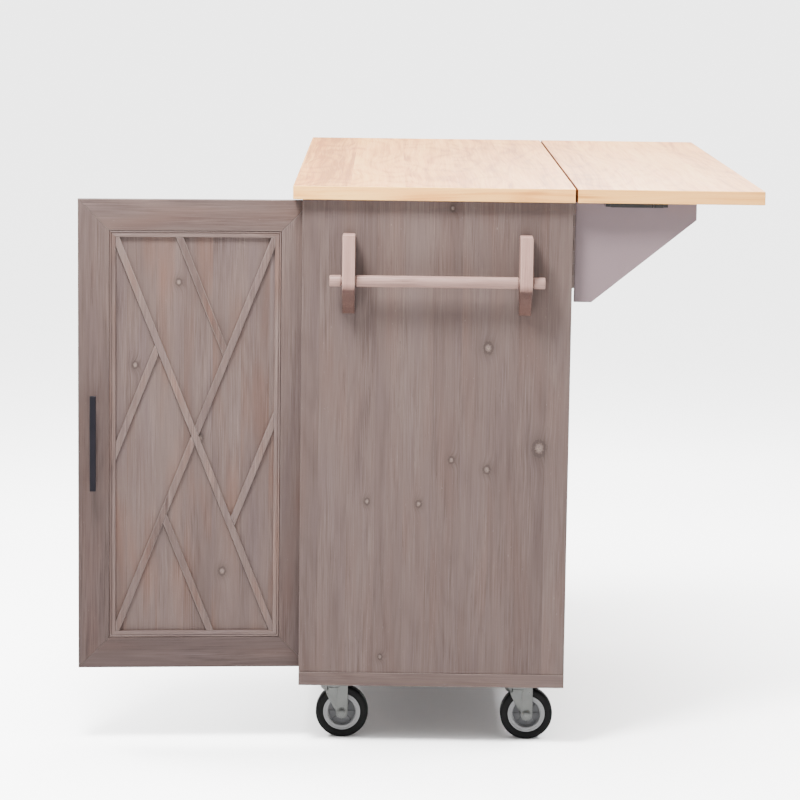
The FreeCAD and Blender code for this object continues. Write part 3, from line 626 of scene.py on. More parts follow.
# what a coat has unless its own row says otherwise; sizes of grain are metres
coatBase = dict(slowSize=0.02, peelSize=0.001, wearSize=0.01, wear=0.3, relief=0.00015, metallic=0, gloss=0.5)
coats = {
    "satinGreyPaint": dict(dark=(0.079, 0.056, 0.060), light=(0.089, 0.064, 0.068),
                           wearTone=(0.101, 0.075, 0.078), roughness=(0.40, 0.52), slowSize=0.09,
                           peelSize=0.0022, wearSize=0.03, wear=0.25, relief=0.0003, gloss=0.2),
    "blackPowderCoat": dict(dark=(0.003, 0.003, 0.004), light=(0.006, 0.005, 0.007),
                            wearTone=(0.015, 0.014, 0.017), roughness=(0.38, 0.55), slowSize=0.03,
                            peelSize=0.0009, wearSize=0.012, wear=0.35, relief=0.0002, gloss=0.04),
    "zincPlate": dict(dark=(0.040, 0.041, 0.040), light=(0.061, 0.062, 0.059),
                      wearTone=(0.027, 0.027, 0.025), roughness=(0.26, 0.44), slowSize=0.012,
                      peelSize=0.0012, wearSize=0.006, wear=0.4, relief=0.0001, metallic=0.85, gloss=0.3),
    "nickelPlate": dict(dark=(0.42, 0.41, 0.39), light=(0.56, 0.55, 0.53), wearTone=(0.32, 0.30, 0.27),
                        roughness=(0.22, 0.36), slowSize=0.012, wearSize=0.006, relief=0.00008,
                        metallic=0.9),
    "bronzedSteel": dict(dark=(0.037, 0.025, 0.023), light=(0.070, 0.050, 0.044),
                         wearTone=(0.147, 0.113, 0.100), roughness=(0.35, 0.5), slowSize=0.015,
                         wearSize=0.008, wear=0.5, relief=0.0001, metallic=0.7),
    "greyNylon": dict(dark=(0.095, 0.095, 0.097), light=(0.118, 0.118, 0.119),
                      wearTone=(0.070, 0.070, 0.070), roughness=(0.42, 0.6), peelSize=0.0012, gloss=0.25),
    # painted shade: the dark grey of the hub web's skin stands for the shade in the hub's recess
    "greyNylonPaintedShade": dict(dark=(0.028, 0.028, 0.030), light=(0.040, 0.040, 0.042),
                          wearTone=(0.022, 0.022, 0.022), roughness=(0.45, 0.6), peelSize=0.0012, gloss=0.2),
    "blackRubber": dict(dark=(0.002, 0.002, 0.002), light=(0.004, 0.004, 0.004),
                        wearTone=(0.012, 0.012, 0.011), roughness=(0.45, 0.6), peelSize=0.0008,
                        wearSize=0.006, wear=0.4, relief=0.0002, gloss=0.04),
    "blackPlastic": dict(dark=(0.008, 0.008, 0.008), light=(0.016, 0.015, 0.015),
                         wearTone=(0.040, 0.039, 0.037), roughness=(0.35, 0.5), gloss=0.12)}


# A sprayed, plated or moulded surface: one colour broken by slow and fine noise, with its own
# roughness range and an orange-peel bump.
def coatedFinish(name):
    look = {**coatBase, **coats[name]}
    finish, tree, shader = newFinish(name)
    place = objectPlace(tree)
    slow = noise(place, 1 / look["slowSize"], 3)
    peel = noise(place, 1 / look["peelSize"])
    wear = noise(place, 1 / look["wearSize"], 4, 0.65)
    colour = mixed(slow, look["dark"], look["light"])
    colour = mixed(remap(wear, 0.62, 0.75, 0, look["wear"]), colour, look["wearTone"])
    fill(shader, {"Base Color": colour, "Roughness": remap(wear, 0.3, 0.7, *look["roughness"]),
                  "Normal": bump(plus(peel, times(slow, 0.4)), look["relief"], 0.4),
                  "Metallic": look["metallic"], "Specular IOR Level": look["gloss"]})
    return finish


(paint, blackMetal, zinc, nickel, bronzed,
 greyPlastic, recessShadePlastic, rubber, blackPlastic) = (coatedFinish(name) for name in coats)
print("other finishes made")


# ---- carcass boards

carcass = {"arris": 1.0 * mm, "topArris": 1.4 * mm, "stretcherWidth": 60 * mm, "stretcherThickness": 16 * mm}

for node, along, finish in (("side_panel_right", "z", stainedPanel), ("side_panel_left", "z", stainedLeft),
                            ("partition_right", "z", stained), ("partition_left", "z", stained),
                            ("shelf_right", "x", stained), ("shelf_left", "x", stained),
                            ("back_panel", "x", stained)):
    board = softBox(*nodeBox(node), carcass["arris"], along)
    makePiece(node + "_board", [board], "cabinet", finish, [node])

for node, body, slot, finish, arris in (("worktop", "cabinet", "top_wood", pineTop, "topArris"),
                                        ("leaf", "leaf", "top_wood", pineTop, "topArris"),
                                        ("base_board", "cabinet", "stained_wood", stainedFrame, "arris")):
    slab = softBox(*nodeBox(node), carcass[arris], "x", banded=True)
    makePiece(node + "_slab", [slab], body, finish, [node])

# the front stretcher lies flat, the rear one stands on edge
low, high = nodeBox("top_stretchers")
thick, wide = carcass["stretcherThickness"], carcass["stretcherWidth"]
makePiece("top_stretcher_boards", [
    softBox((low[0], low[1], high[2] - thick), (high[0], low[1] + wide, high[2]), carcass["arris"]),
    softBox((low[0], high[1] - thick, low[2]), high, carcass["arris"])],
    "cabinet", stainedFrame, ["top_stretchers"])

# small screws hold the back panel all round
backScrew = {"inset": 12 * mm, "radius": 3.2 * mm, "height": 1.1 * mm, "across": 7, "up": 4}
low, high = nodeBox("back_panel")
inset = backScrew["inset"]
screwX = np.linspace(low[0] + inset, high[0] - inset, backScrew["across"])
screwZ = np.linspace(low[2] + inset, high[2] - inset, backScrew["up"])
spots = [(x, z) for z in screwZ for x in (screwX if z in (screwZ[0], screwZ[-1]) else screwX[[0, -1]])]
makePiece("back_panel_screws",
          [screwHead((x, high[1], z), "y", backScrew["radius"], backScrew["height"]) for x, z in spots],
          "cabinet", zinc)
print("carcass boards made")


# ---- towel rail

rail = {"bracketFront": 86 * mm, "bracketArris": 1.8 * mm, "toeRadius": 3 * mm, "noseRadius": 4.8 * mm,
        "tenon": 7 * mm, "gap": 2 * mm, "chamfer": 0.9 * mm, "turns": 40}


# A bracket's outline has a level top, an upright front and an underside that slopes to the panel.
def addBracket(node):
    low, high = nodeBox(node)
    outline = [(low[0], high[2]), (low[0], low[2]), (high[0], high[2] - rail["bracketFront"]),
               (high[0], high[2])]
    outline = roundCorners(outline, [rail["noseRadius"], rail["toeRadius"], 0, 0])
    makePiece(node + "_block", [softPrism(outline, low[1], high[1], rail["bracketArris"], "xz", "z")],
              "cabinet", limedBracketPaintedShadow, [node])
    return low[1], high[1]


# The rail is one turned profile: cap, thin neck through the bracket, rail, neck, cap.
def addRail():
    spans = [addBracket("rail_bracket_front"), addBracket("rail_bracket_rear")]
    low, high = nodeBox("towel_rail")
    radius, half, _ = (high - low) / 2
    middle = (low + high) / 2
    neckStart = spans[1][0] - rail["gap"] - middle[1]
    neckEnd = spans[1][1] + rail["gap"] - middle[1]
    c, tenon = rail["chamfer"], rail["tenon"]
    side = [(0, radius), (neckStart * 0.5, radius), (neckStart - c, radius), (neckStart, radius - c),
            (neckStart, tenon), (neckEnd, tenon), (neckEnd, radius - c), (neckEnd + c, radius),
            (half - 1.5 * c, radius), (half - 0.4 * c, radius - 0.5 * c), (half, radius - 1.6 * c),
            (half, 0)]
    other = [(-a, r) for a, r in side[:0:-1]]
    makePiece("towel_rail_turned", [turnedShape(other + side, middle, "y", rail["turns"])], "cabinet",
              limedBar, ["towel_rail"])


addRail()
print("towel rail made")


# ---- leaf supports and stops

support = {"tip": 28 * mm, "foot": 28 * mm, "arris": 1.0 * mm}
stop = {"width": 10 * mm, "arris": 0.6 * mm, "break": 0.77, "gap": 1.2 * mm, "height": 8.5 * mm,
        "block": 7 * mm, "blockHeight": 7.8 * mm}


def addSupport(node):
    low, high = nodeBox(node)
    outline = [(low[1], high[2]), (high[1], high[2]), (high[1], high[2] - support["tip"]),
               (low[1] + support["foot"], low[2]), (low[1], low[2])]
    makePiece(node + "_bracket", [softPrism(outline, low[0], high[0], support["arris"], "yz", "y")],
              node, paint, [node])


# A stop is a strip in two lengths, parted at a share of its length, with a slightly thinner
# block at each end.
def stopStrip(low, high):
    middle = low[1] + (high[1] - low[1]) * stop["break"]
    half, block = stop["gap"] / 2, stop["block"]
    under, blockUnder = high[2] - stop["height"], high[2] - stop["blockHeight"]
    spans = ((low[1] + block, middle - half, under), (middle + half, high[1] - block, under),
             (low[1], low[1] + block, blockUnder), (high[1] - block, high[1], blockUnder))
    return [softBox((low[0], a, z), (high[0], b, high[2]), stop["arris"], "y", steps=2) for a, b, z in spans]


addSupport("support_right")
addSupport("support_left")
low, high = nodeBox("leaf_stops")
width = stop["width"]
stops = stopStrip([high[0] - width, *low[1:]], high) + stopStrip(low, [low[0] + width, *high[1:]])
makePiece("leaf_stop_strips", stops, "leaf", blackPlastic, ["leaf_stops"])
print("leaf supports made")


# ---- doors

door = {"frameWidth": 50 * mm, "frameArris": 0.9 * mm, "panelArris": 0.6 * mm, "mouldingWidth": 10.5 * mm,
        "latticeWidth": 11 * mm, "latticeArris": 1.3 * mm, "latticeDrop": 0.9 * mm, "topStart": 0.40,
        "sideStart": 0.27, "cupRadius": 17.5 * mm, "cupDepth": 11.5 * mm, "cupSetback": 22.5 * mm,
        "slotHalf": 4.6 * mm, "slotHeight": 10.6 * mm, "slotReach": 20 * mm, "slotArris": 0.1 * mm,
        "hingeInset": 100 * mm}
# The moulding's bead, and the rest of its profile as distance in from its outer edge and drop
# below its top: a groove and a flat band.
moulding = {"start": 0.35 * mm, "bead": 1.5 * mm,
            "rest": np.array([(3.45, 2.4), (4.05, 2.4), (4.25, 1.2), (4.55, 0.9), (9.8, 0.9), (10.3, 1.1),
                              (10.5, 1.6)]) * mm}
cabinetMiddle = (nodeBox("side_panel_left")[0][0] + nodeBox("side_panel_right")[1][0]) / 2
hinge = next(joint for joint in frame["joints"] if joint["name"] == "door_right_hinge")
hingeX, hingeY = hinge["pos_m"][:2]
openAngle = -math.radians(hinge["range_deg"][0])


# A shape of the closed right door, where it hangs: turned by the open angle about its hinge on
# the right, mirrored about the cabinet's middle on the left.
def hung(shape, side):
    points = shape["points"].copy()
    if side == "left":
        points[:, 0] = 2 * cabinetMiddle - points[:, 0]
    else:
        x, y = points[:, 0] - hingeX, points[:, 1] - hingeY
        c, s = math.cos(openAngle), math.sin(openAngle)
        points[:, 0], points[:, 1] = hingeX + x * c - y * s, hingeY + x * s + y * c
    return {**shape, "points": points}


# The right door's box when closed is the left one's, mirrored.
def closedBox(node):
    low, high = nodeBox(node)
    return (np.array([2 * cabinetMiddle - high[0], low[1], low[2]]),
            np.array([2 * cabinetMiddle - low[0], high[1], high[2]]))


# Stiles and rails of a ring between two corners, each as its four mitred corner points.
def mitredOutlines(x0, z0, x1, z1, width):
    a0, c0, a1, c1 = x0 + width, z0 + width, x1 - width, z1 - width
    return (("z", [(x0, z0), (a0, c0), (a0, c1), (x0, z1)]),
            ("z", [(x1, z0), (x1, z1), (a1, c1), (a1, c0)]),
            ("x", [(x0, z0), (x1, z0), (a1, c0), (a0, c0)]),
            ("x", [(x0, z1), (a0, c1), (a1, c1), (x1, z1)]))


# A moulding strip: every profile point (distance in from the outer edge, height) runs
# parallel to the edge, and starts and ends that same distance in from the mitred corners.
def mouldingStrip(start, end, inward, profile, faceY, along):
    start, end, inward = (np.array(v, float) for v in (start, end, inward))
    forward = (end - start) / np.linalg.norm(end - start)
    inset = profile[:, :1]
    ends = np.stack([start + inset * (inward + forward), end + inset * (inward - forward)])
    points = np.empty(ends.shape[:2] + (3,))
    points[..., 0], points[..., 2] = ends[..., 0], ends[..., 1]
    points[..., 1] = faceY - profile[:, 1]
    count = len(profile)
    faces = gridFaces(2, count, closedColumns=True).tolist()
    faces += [list(range(count)), list(range(count, 2 * count))]
    return newShape(points.reshape(-1, 3), faces, along)


# The bead is half a circle on two short uprights; the rest is its table of points.
def mouldingProfile(height):
    start, bead = moulding["start"], moulding["bead"]
    arch = arcPoints((start + bead, height - bead), bead, 180, 0, 8)
    rest = [0, height] + moulding["rest"] * [1, -1]
    return np.concatenate([[(start, 0)], arch, rest, [(rest[-1, 0], 0)]])


# The lattice: two crossing diagonals of the opening and four short bars parallel to them,
# each a strip cut by the opening's edges and by the bar that it meets.
def latticeOutlines(x0, z0, x1, z1):
    half = door["latticeWidth"] / 2
    corner = np.array([x0, z1])
    scale = np.array([x1 - x0, z0 - z1])

    def line(start, end):
        a, b = corner + np.array(start) * scale, corner + np.array(end) * scale
        forward = (b - a) / np.linalg.norm(b - a)
        return a, np.array([-forward[1], forward[0]])

    def strip(which):
        origin, side = which
        room = anticlockwise([(x0, z0), (x1, z0), (x1, z1), (x0, z1)])
        room = clipOutline(room, origin - side * half, side)
        return clipOutline(room, origin + side * half, -side)

    def beside(outline, which, sign):
        origin, side = which
        return clipOutline(outline, origin + sign * side * half, sign * side)

    falling, rising = line((0, 0), (1, 1)), line((1, 0), (0, 1))
    s, t = door["topStart"], door["sideStart"]
    outlines = [strip(falling), beside(strip(rising), falling, 1), beside(strip(rising), falling, -1)]
    for start, end, meets in (((s, 0), (1, 1 - s), rising), ((1 - s, 1), (0, s), rising),
                              ((0, 2 * t), (2 * t, 0), falling), ((1, 1 - 2 * t), (1 - 2 * t, 1), falling)):
        bar = line(start, end)
        origin, side = meets
        first = corner + np.array(start) * scale
        sign = 1 if (first - origin) @ side > 0 else -1
        outlines.append(beside(strip(bar), meets, sign))
    return outlines


pull = {"length": 155 * mm, "width": 10 * mm, "thickness": 8 * mm, "projection": 25 * mm,
        "spacing": 128 * mm, "postRadius": 4 * mm, "arris": 1.3 * mm, "flare": 0.8 * mm, "turns": 24}


# A straight bar with eased edges on two round posts that flare at the foot, on the middle of
# the rear face of a pull's own box.
def pullShapes(low, high, along):
    a = "xyz".index(along)
    centre = (low + high) / 2
    centre[1] = high[1]
    reach = pull["projection"] - pull["thickness"] / 2
    half = np.full(3, pull["width"] / 2)
    half[a], half[1] = pull["length"] / 2, pull["thickness"] / 2
    middle = centre - [0, reach, 0]
    shapes = [softBox(middle - half, middle + half, pull["arris"], along)]
    radius, flare = pull["postRadius"], pull["flare"]
    profile = [(0, 0), (0, radius + flare), (-flare, radius + 0.3 * flare), (-2.5 * flare, radius),
               (-reach, radius), (-reach, 0)]
    for side in (-1, 1):
        place = centre.copy()
        place[a] += side * pull["spacing"] / 2
        shapes.append(turnedShape(profile, place, "y", pull["turns"]))
    return shapes


def addDoor(side):
    body = "door_" + side

    def addPart(name, shapes, finish, replaced=()):
        return makePiece(body + name, [hung(one, side) for one in shapes], body, finish,
                         [body + node for node in replaced])

    low, high = closedBox("door_left_frame")
    hingeZ = (low[2] + door["hingeInset"], high[2] - door["hingeInset"])
    members = [softPrism(outline, low[1], high[1], door["frameArris"], "xz", along)
               for along, outline in mitredOutlines(low[0], low[2], high[0], high[2], door["frameWidth"])]
    addPart("_frame_free_stile", members[:1], stainedMembers, ["_frame"])
    stile = addPart("_frame_hinge_stile", members[1:2], stainedMembers)
    carve(stile, [hung(cut, side) for z in hingeZ for cut in hingeRoom(high[0], high[1], z)])
    addPart("_frame_bottom_rail", members[2:3], stainedMembers)
    addPart("_frame_top_rail", members[3:], stainedMembers)

    panel = softBox(*closedBox("door_left_panel"), door["panelArris"], "z", steps=1)
    addPart("_panel_board", [panel], stainedDoor, ["_panel"])

    (x0, y0, z0), (x1, y1, z1) = closedBox("door_left_moulding")
    edges = (((x0, z0), (x0, z1), (1, 0), "z"), ((x1, z0), (x1, z1), (-1, 0), "z"),
             ((x0, z0), (x1, z0), (0, 1), "x"), ((x0, z1), (x1, z1), (0, -1), "x"))
    profile = mouldingProfile(y1 - y0)
    strips = [mouldingStrip(a, b, inward, profile, y1, along) for a, b, inward, along in edges]
    addPart("_moulding_strips", strips, stainedBars, ["_moulding"])

    width = door["mouldingWidth"]
    bars = [softPrism(outline, y0 + door["latticeDrop"], y1, door["latticeArris"], "xz", "z")
            for outline in latticeOutlines(x0 + width, z0 + width, x1 - width, z1 - width)]
    addPart("_lattice_bars", bars, stainedBars, ["_lattice"])
    addPart("_pull_bar", pullShapes(*closedBox("door_left_pull"), "z"), blackMetal, ["_pull"])


# The room that a hinge needs in the stile: a round pocket for the cup, and a slot through the
# rear face and the hinge edge for the arm.
def hingeRoom(edge, rear, z):
    x, radius, depth = edge - door["cupSetback"], door["cupRadius"], door["cupDepth"]
    pocket = turnedShape([(0, 0), (0, radius), (2 * depth, radius), (2 * depth, 0)],
                         (x, rear - depth, z), "y")
    half, reach = door["slotHeight"] / 2, door["slotReach"]
    slot = softBox((hingeX - door["slotHalf"], hingeY - door["slotHalf"], z - half),
                   (edge + reach, rear + reach, z + half), door["slotArris"], steps=1)
    return [pocket, slot]


addDoor("right")
addDoor("left")
print("doors made")


# ---- drawers

drawer = {"arris": 1.0 * mm, "wall": 15 * mm, "bottom": 6 * mm, "bottomLift": 8 * mm,
          "sideArris": 0.5 * mm, "wallArris": 0.6 * mm, "bottomArris": 0.4 * mm, "runnerArris": 1.2 * mm,
          "boxGap": 3 * mm, "runnerThickness": 10 * mm, "runnerHeight": 16 * mm, "clearance": 0.5 * mm}


# A drawer side's section has a groove for its runner, half way up its outer face.
def drawerSide(inner, outer, y0, y1, z0, z1):
    level, half = (z0 + z1) / 2, drawer["runnerHeight"] / 2 + drawer["clearance"]
    depth = drawer["runnerThickness"] - drawer["boxGap"] + drawer["clearance"]
    floor = outer - math.copysign(depth, outer - inner)
    outline = [(inner, z0), (outer, z0), (outer, level - half), (floor, level - half),
               (floor, level + half), (outer, level + half), (outer, z1), (inner, z1)]
    return softPrism(outline, y0, y1, drawer["sideArris"], "xz", "y", steps=1)


def addDrawer(level):
    body = "drawer_" + level
    front = softBox(*nodeBox(body + "_front"), drawer["arris"])
    makePiece(body + "_front_board", [front], body, stainedFrame, [body + "_front"])
    (x0, y0, z0), (x1, y1, z1) = nodeBox(body + "_box")
    wall, floor, arris = drawer["wall"], z0 + drawer["bottomLift"], drawer["wallArris"]
    a, b = x0 + wall, x1 - wall
    boards = [drawerSide(a, x0, y0, y1, z0, z1), drawerSide(b, x1, y0, y1, z0, z1),
              softBox((a, y0, z0), (b, y0 + wall, z1), arris),
              softBox((a, y1 - wall, z0), (b, y1, z1), arris),
              softBox((a, y0 + wall, floor), (b, y1 - wall, floor + drawer["bottom"]), drawer["bottomArris"])]
    makePiece(body + "_box_boards", boards, body, drawerPine, [body + "_box"])
    makePiece(body + "_pull_bar", pullShapes(*nodeBox(body + "_pull"), "x"), body,
              blackMetal, [body + "_pull"])
    return (z0 + z1) / 2


def addDrawers():
    levels = [addDrawer(level) for level in ("top", "middle", "bottom")]
    low, high = nodeBox("drawer_runners")
    half, thick = drawer["runnerHeight"] / 2, drawer["runnerThickness"]
    runners = [softBox((x, low[1], z - half), (x + thick, high[1], z + half), drawer["runnerArris"], "y")
               for z in levels for x in (low[0], high[0] - thick)]
    makePiece("drawer_runner_rails", runners, "cabinet", drawerPine, ["drawer_runners"])


addDrawers()
print("drawers made")


# ---- casters

caster = {"trail": 14 * mm, "axle": 4 * mm, "rimHalf": 12 * mm, "webHalf": 3.5 * mm, "ribs": 8,
          "ribHalf": 0.6 * mm, "ribRise": 1.6 * mm, "ribStart": 8.4 * mm, "ribEnd": 22.6 * mm,
          "ribArris": 0.4 * mm, "gap": 32 * mm, "sheet": 2.4 * mm, "cheekArris": 0.5 * mm,
          "cheekTop": 89.2 * mm, "endRadius": 10 * mm, "crease": 8 * mm, "wingDraw": 3 * mm,
          "wingReach": np.array([22, 19, 0.5]) * mm, "wingSheet": 1.8 * mm, "wingInset": 0.4 * mm,
          "wingSetback": 1.2 * mm, "wingFoot": 2 * mm, "lipTurn": 62, "lipSheet": 1.6 * mm,
          "crownUnder": 88.2 * mm, "crownSheet": 1.8 * mm, "crownDrop": 0.6 * mm, "crownArris": 0.8 * mm,
          "crownSetback": 17 * mm, "plateSize": 62 * mm, "plateCorner": 7 * mm, "plateArris": 0.7 * mm,
          "plateSheet": 2.5 * mm, "screwHalf": 23.5 * mm, "screwRadius": 4 * mm, "screwHeight": 2.2 * mm,
          "wheelTurns": 96, "raceTurns": 64}
tyre = {"hub": 31 * mm, "shoulder": 5 * mm, "seamHalf": 1 * mm, "seamFloor": 0.4 * mm, "seamDepth": 0.5 * mm,
        "treadDrop": 0.02 * mm}
# Turned profiles in millimetres.  The rim's points are the distance in from its face and the
# radius, and all the others' are the distance along the axis and the radius.
rimProfile = [(1.4, 23.2), (0.4, 24.2), (0, 25.2), (0, 26.6), (0.7, 26.9), (0.7, 27.6), (0, 27.9), (0, 30.2),
              (0.8, 31)]
bossProfile = [(15.5, 0), (15.5, 7.8), (14.3, 9), (3.5, 10), (3.5, 21.6), (4.5, 22.6)]
webProfile = [(3.8, 8), (3.8, 22.2), (-3.8, 22.2), (-3.8, 8)]
boltProfile = [(0, 0), (0, 8.2), (0.8, 8.2), (1, 7.9), (1, 6.2), (2.6, 5.8), (3.4, 4), (3.4, 0)]
raceProfile = [(-4.6, 0), (-4.6, 12.1), (-3.6, 17.6), (-1.4, 21.34), (1.2, 22), (3.6, 21.67), (5.2, 20.46),
               (5.2, 0)]
cupProfile = [(0, 0), (0, 21.34), (-1.2, 22), (-2.4, 20.9), (-2.4, 0)]
lipProfile = np.array([(22.6, 91), (22.8, 88.5), (22.2, 85), (20.8, 82), (19, 80)]) * mm


# Tyre: flat sides, rounded shoulders and a tread with a fine seam round its middle.
def tyreShape(middle, half):
    radius, hub, shoulder = middle[2], tyre["hub"], tyre["shoulder"]
    crown = arcPoints((half - shoulder, radius - shoulder), shoulder, 0, 80)
    edge = (tyre["seamHalf"], radius - tyre["treadDrop"])
    floor = (tyre["seamFloor"], radius - tyre["seamDepth"])
    seam = [edge, floor, (-floor[0], floor[1]), (-edge[0], edge[1])]
    bead, side = (half - 1 * mm, hub - 0.4 * mm), (half - 0.3 * mm, hub + 0.8 * mm)
    profile = np.concatenate([[(-bead[0], bead[1]), bead, side], crown, seam, crown[::-1] * [-1, 1],
                              [(-side[0], side[1])]])
    return turnedShape(profile, middle, "x", caster["wheelTurns"], closed=True)


# Hub: a stepped rim round a recessed web with a boss, and on the web a skin of painted shade with ribs.
# A rib is turned about the axle by x, y cos t - z sin t, y sin t + z cos t.
def hubShapes(middle):
    rim = [(caster["rimHalf"] - inset * mm, radius * mm) for inset, radius in rimProfile]
    right = [(a * mm, r * mm) for a, r in bossProfile] + rim
    profile = right + [(-a, r) for a, r in right[::-1]]
    turns = caster["wheelTurns"]
    webShadeSkin = [turnedShape(np.array(webProfile) * mm, middle, "x", turns, closed=True)]
    half, reach = caster["ribHalf"], caster["webHalf"] + caster["ribRise"]
    for turn in np.arange(caster["ribs"]) * 2 * math.pi / caster["ribs"]:
        rib = softBox((-reach, -half, caster["ribStart"]), (reach, half, caster["ribEnd"]),
                      caster["ribArris"], steps=1)
        x, y, z = rib["points"].T
        c, s = math.cos(turn), math.sin(turn)
        rib["points"] = np.stack([x, y * c - z * s, y * s + z * c], 1) + middle
        webShadeSkin.append(rib)
    return [turnedShape(profile, middle, "x", turns)], webShadeSkin


# Fork: two flat cheeks with rounded ends, a wing bent off each cheek's front edge and drawn in
# by the power 1.5 of its width, washers and bolt heads, a round front lip, a dished lower race,
# the crown's flat and the axle.
def forkShapes(middle, swivelY):
    x, axleY, axleZ = middle
    inner, end = caster["gap"] / 2, caster["endRadius"]
    outer, top, crease = inner + caster["sheet"], caster["cheekTop"], axleY - caster["crease"]
    arc = arcPoints((axleY, axleZ), end, 205, 360, 14)
    cheek = np.concatenate([[(crease, top)], arc, [(axleY + end, top)]])
    down, across = np.linspace(0, 1, 9)[:, None], np.linspace(0, 1, 6)[None, :]
    reach = np.interp(down, [0, 0.3, 1], caster["wingReach"])
    wing = np.empty((9, 6, 3))
    wing[..., 1] = crease + caster["wingSetback"] - down * mm - reach * across
    wing[..., 2] = top + (axleZ - caster["wingFoot"] - top) * down
    shapes = []
    for side in (-1, 1):
        near, far = sorted((x + side * inner, x + side * outer))
        shapes.append(softPrism(cheek, near, far, caster["cheekArris"], "yz", "z"))
        wing[..., 0] = x + side * (outer - caster["wingInset"] - caster["wingDraw"] * across ** 1.5)
        shapes.append(sheetShape(wing, (-side * caster["wingSheet"], 0, 0)))
        shapes.append(turnedShape(np.array(boltProfile) * [side * mm, mm], (x + side * outer, axleY, axleZ),
                                  "x", 6 if side < 0 else 32))
    turn = np.radians(np.linspace(-caster["lipTurn"], caster["lipTurn"], 15))[:, None]
    radius, z = lipProfile.T
    lip = np.stack([x + radius * np.sin(turn), swivelY - radius * np.cos(turn), z + 0 * turn], 2)
    inward = np.stack([-np.sin(turn), np.cos(turn), 0 * turn], 2) * caster["lipSheet"]
    under, axle = caster["crownUnder"], caster["axle"]
    crownLow = (x - outer, swivelY - caster["crownSetback"], under - caster["crownDrop"])
    crownHigh = (x + outer, axleY + end, under + caster["crownSheet"])
    return shapes + [
        sheetShape(lip, np.broadcast_to(inward, lip.shape)),
        turnedShape(np.array(raceProfile) * mm, (x, swivelY, under), "z", caster["raceTurns"]),
        softBox(crownLow, crownHigh, caster["crownArris"], "y", steps=2),
        turnedShape([(-outer, 0), (-outer, axle), (outer, axle), (outer, 0)], middle, "x", 24)]


# Plate with rounded corners, and the upper half of the race under it.
def plateShapes(x, y, under, top):
    half = caster["plateSize"] / 2
    corners = [(x - half, y - half), (x + half, y - half), (x + half, y + half), (x - half, y + half)]
    outline = roundCorners(corners, caster["plateCorner"])
    return [softPrism(outline, under, top, caster["plateArris"], "xy", "x"),
            turnedShape(np.array(cupProfile) * mm, (x, y, under), "z", caster["raceTurns"])]


def addCasters():
    plates, screws, spread = [], [], caster["screwHalf"]
    top = nodeBox("caster_plates")[1][2]
    under = top - caster["plateSheet"]
    for name in ("caster_front_right", "caster_front_left", "caster_rear_right", "caster_rear_left"):
        low, high = nodeBox(name + "_tyre")
        middle = (low + high) / 2
        x, swivelY = middle[0], middle[1] - caster["trail"]
        makePiece(name + "_tyre_ring", [tyreShape(middle, (high - low)[0] / 2)], name + "_wheel",
                  rubber, [name + "_tyre"])
        rim, webShadeSkin = hubShapes(middle)
        makePiece(name + "_wheel_hub", rim, name + "_wheel", greyPlastic, [name + "_hub"])
        # the web's dark skin is painted shade in the hub's recess
        makePiece(name + "_hub_web_painted_shade", webShadeSkin, name + "_wheel", recessShadePlastic)
        makePiece(name + "_fork_frame", forkShapes(middle, swivelY), name, zinc,
                  [name + "_fork"])
        plates += plateShapes(x, swivelY, under, top)
        screws += [screwHead((x + a, swivelY + b, under), "z", caster["screwRadius"],
                             caster["screwHeight"], -1)
                   for a in (-spread, spread) for b in (-spread, spread)]
    makePiece("caster_top_plates", plates, "cabinet", zinc, ["caster_plates"])
    makePiece("caster_screw_heads", screws, "cabinet", zinc, ["caster_screws"])


addCasters()
print("casters made")


# ---- hardware kept from the frame, with its own finishes

keptFinishes = {nickel: ("shelf_pins", "door_hinge_arms", "door_right_hinge_cups", "door_left_hinge_cups",
                        "leaf_hinges_fixed", "leaf_hinges_moving"),
                bronzed: ("support_hinges_fixed", "support_hinge_right", "support_hinge_left")}
for finish, nodes in keptFinishes.items():
    for node in nodes:
        kept = frame["nodes"][node]
        kept.data.materials.clear()
        kept.data.materials.append(finish)
print("hardware finished")


# ---- floor, light and camera

# the sky's brightness goes by the height of its direction: 0 is the horizon, 1 is overhead
studio = {"floorSize": 260, "floorTone": (0.88, 0.88, 0.88), "floorDark": (0.8668, 0.8668, 0.8668),
          "sky": [(0, 0.30), (0.10, 0.26), (0.3, 0.07), (0.70, 0.09), (0.84, 0.75), (0.93, 1), (1, 1)],
          "skyStrength": 11, "camera": (5.560, -0.0528, 1.306), "lens": 139.7, "yaw": 0.27,
          "pitch": 8.38, "roll": 0.78}
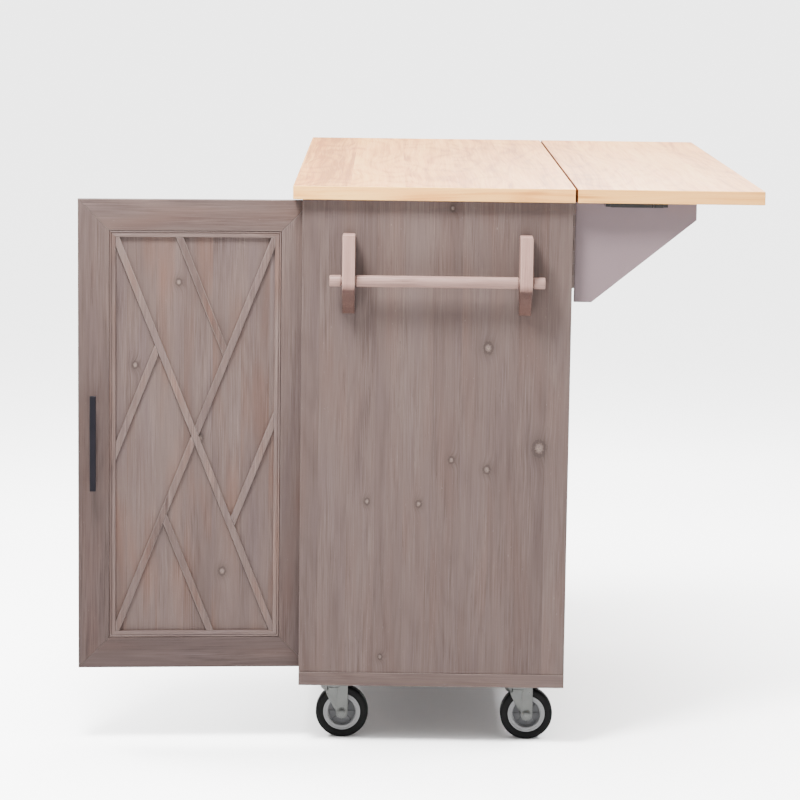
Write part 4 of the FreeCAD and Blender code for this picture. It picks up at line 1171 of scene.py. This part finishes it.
# each lamp's place, what it is aimed at, its size and its power
lights = {"overhead": ((0, 0, 2.6), (0, 0, 0.4), 1.2, 42),
          "overRight": ((1.38, -0.62, 2.25), (0.6, -0.15, 0.80), 0.5, 215),
          "overLeft": ((-1.75, 0.5, 2.25), (-0.6, 0, 0.75), 0.8, 120),
          "overFront": ((-0.3, -1.75, 2.25), (0, -0.2, 0.75), 0.9, 150),
          "overBack": ((0.2, 1.85, 2.25), (0, 0.3, 0.75), 0.9, 120)}


def addFloor():
    reach = studio["floorSize"] / 2
    line = np.linspace(-reach, reach, 9)
    u, v = np.meshgrid(line, line, indexing="ij")
    mesh = newMesh("floor", np.stack([u, v, 0 * u], 2).reshape(-1, 3), gridFaces(9, 9)[:, ::-1].tolist())
    finish, tree, shader = newFinish("paleFloor")
    tone = mixed(noise(objectPlace(tree), 1.5), studio["floorDark"], studio["floorTone"])
    fill(shader, {"Base Color": tone, "Roughness": 0.75, "Specular IOR Level": 0.2})
    mesh.materials.append(finish)
    newObject("floor", mesh)


def addLights():
    for name, (place, target, size, power) in lights.items():
        data = bpy.data.lights.new(name, "AREA")
        data.energy, data.size = power, size
        turn = (Vector(place) - Vector(target)).to_track_quat("Z", "Y").to_matrix().to_4x4()
        newObject(name, data).matrix_world = Matrix.Translation(place) @ turn
    world = bpy.data.worlds.new("studio")
    world.use_nodes = True
    tree = world.node_tree
    direction = tree.nodes.new("ShaderNodeTexCoord").outputs["Generated"]
    fill(tree.nodes["Background"], {"Color": ramp(split(direction)[2], studio["sky"]),
                                    "Strength": studio["skyStrength"]})
    bpy.context.scene.world = world


# The camera looks along -X, yawed towards +Y, pitched down, and rolled.
def addCamera():
    yaw, pitch, roll = (math.radians(studio[part]) for part in ("yaw", "pitch", "roll"))
    forward = Vector((-math.cos(pitch) * math.cos(yaw), math.cos(pitch) * math.sin(yaw), -math.sin(pitch)))
    right = forward.cross(Vector((0, 0, 1))).normalized()
    up = right.cross(forward)
    c, s = math.cos(roll), math.sin(roll)
    right, up = right * c + up * s, up * c - right * s
    data = bpy.data.cameras.new("camera")
    data.lens, data.sensor_width, data.clip_end = studio["lens"], 36, 200
    camera = newObject("camera", data)
    turn = Matrix((right, up, -forward)).transposed().to_4x4()
    camera.matrix_world = Matrix.Translation(studio["camera"]) @ turn
    bpy.context.scene.camera = camera


addFloor()
addLights()
addCamera()
print("studio made")
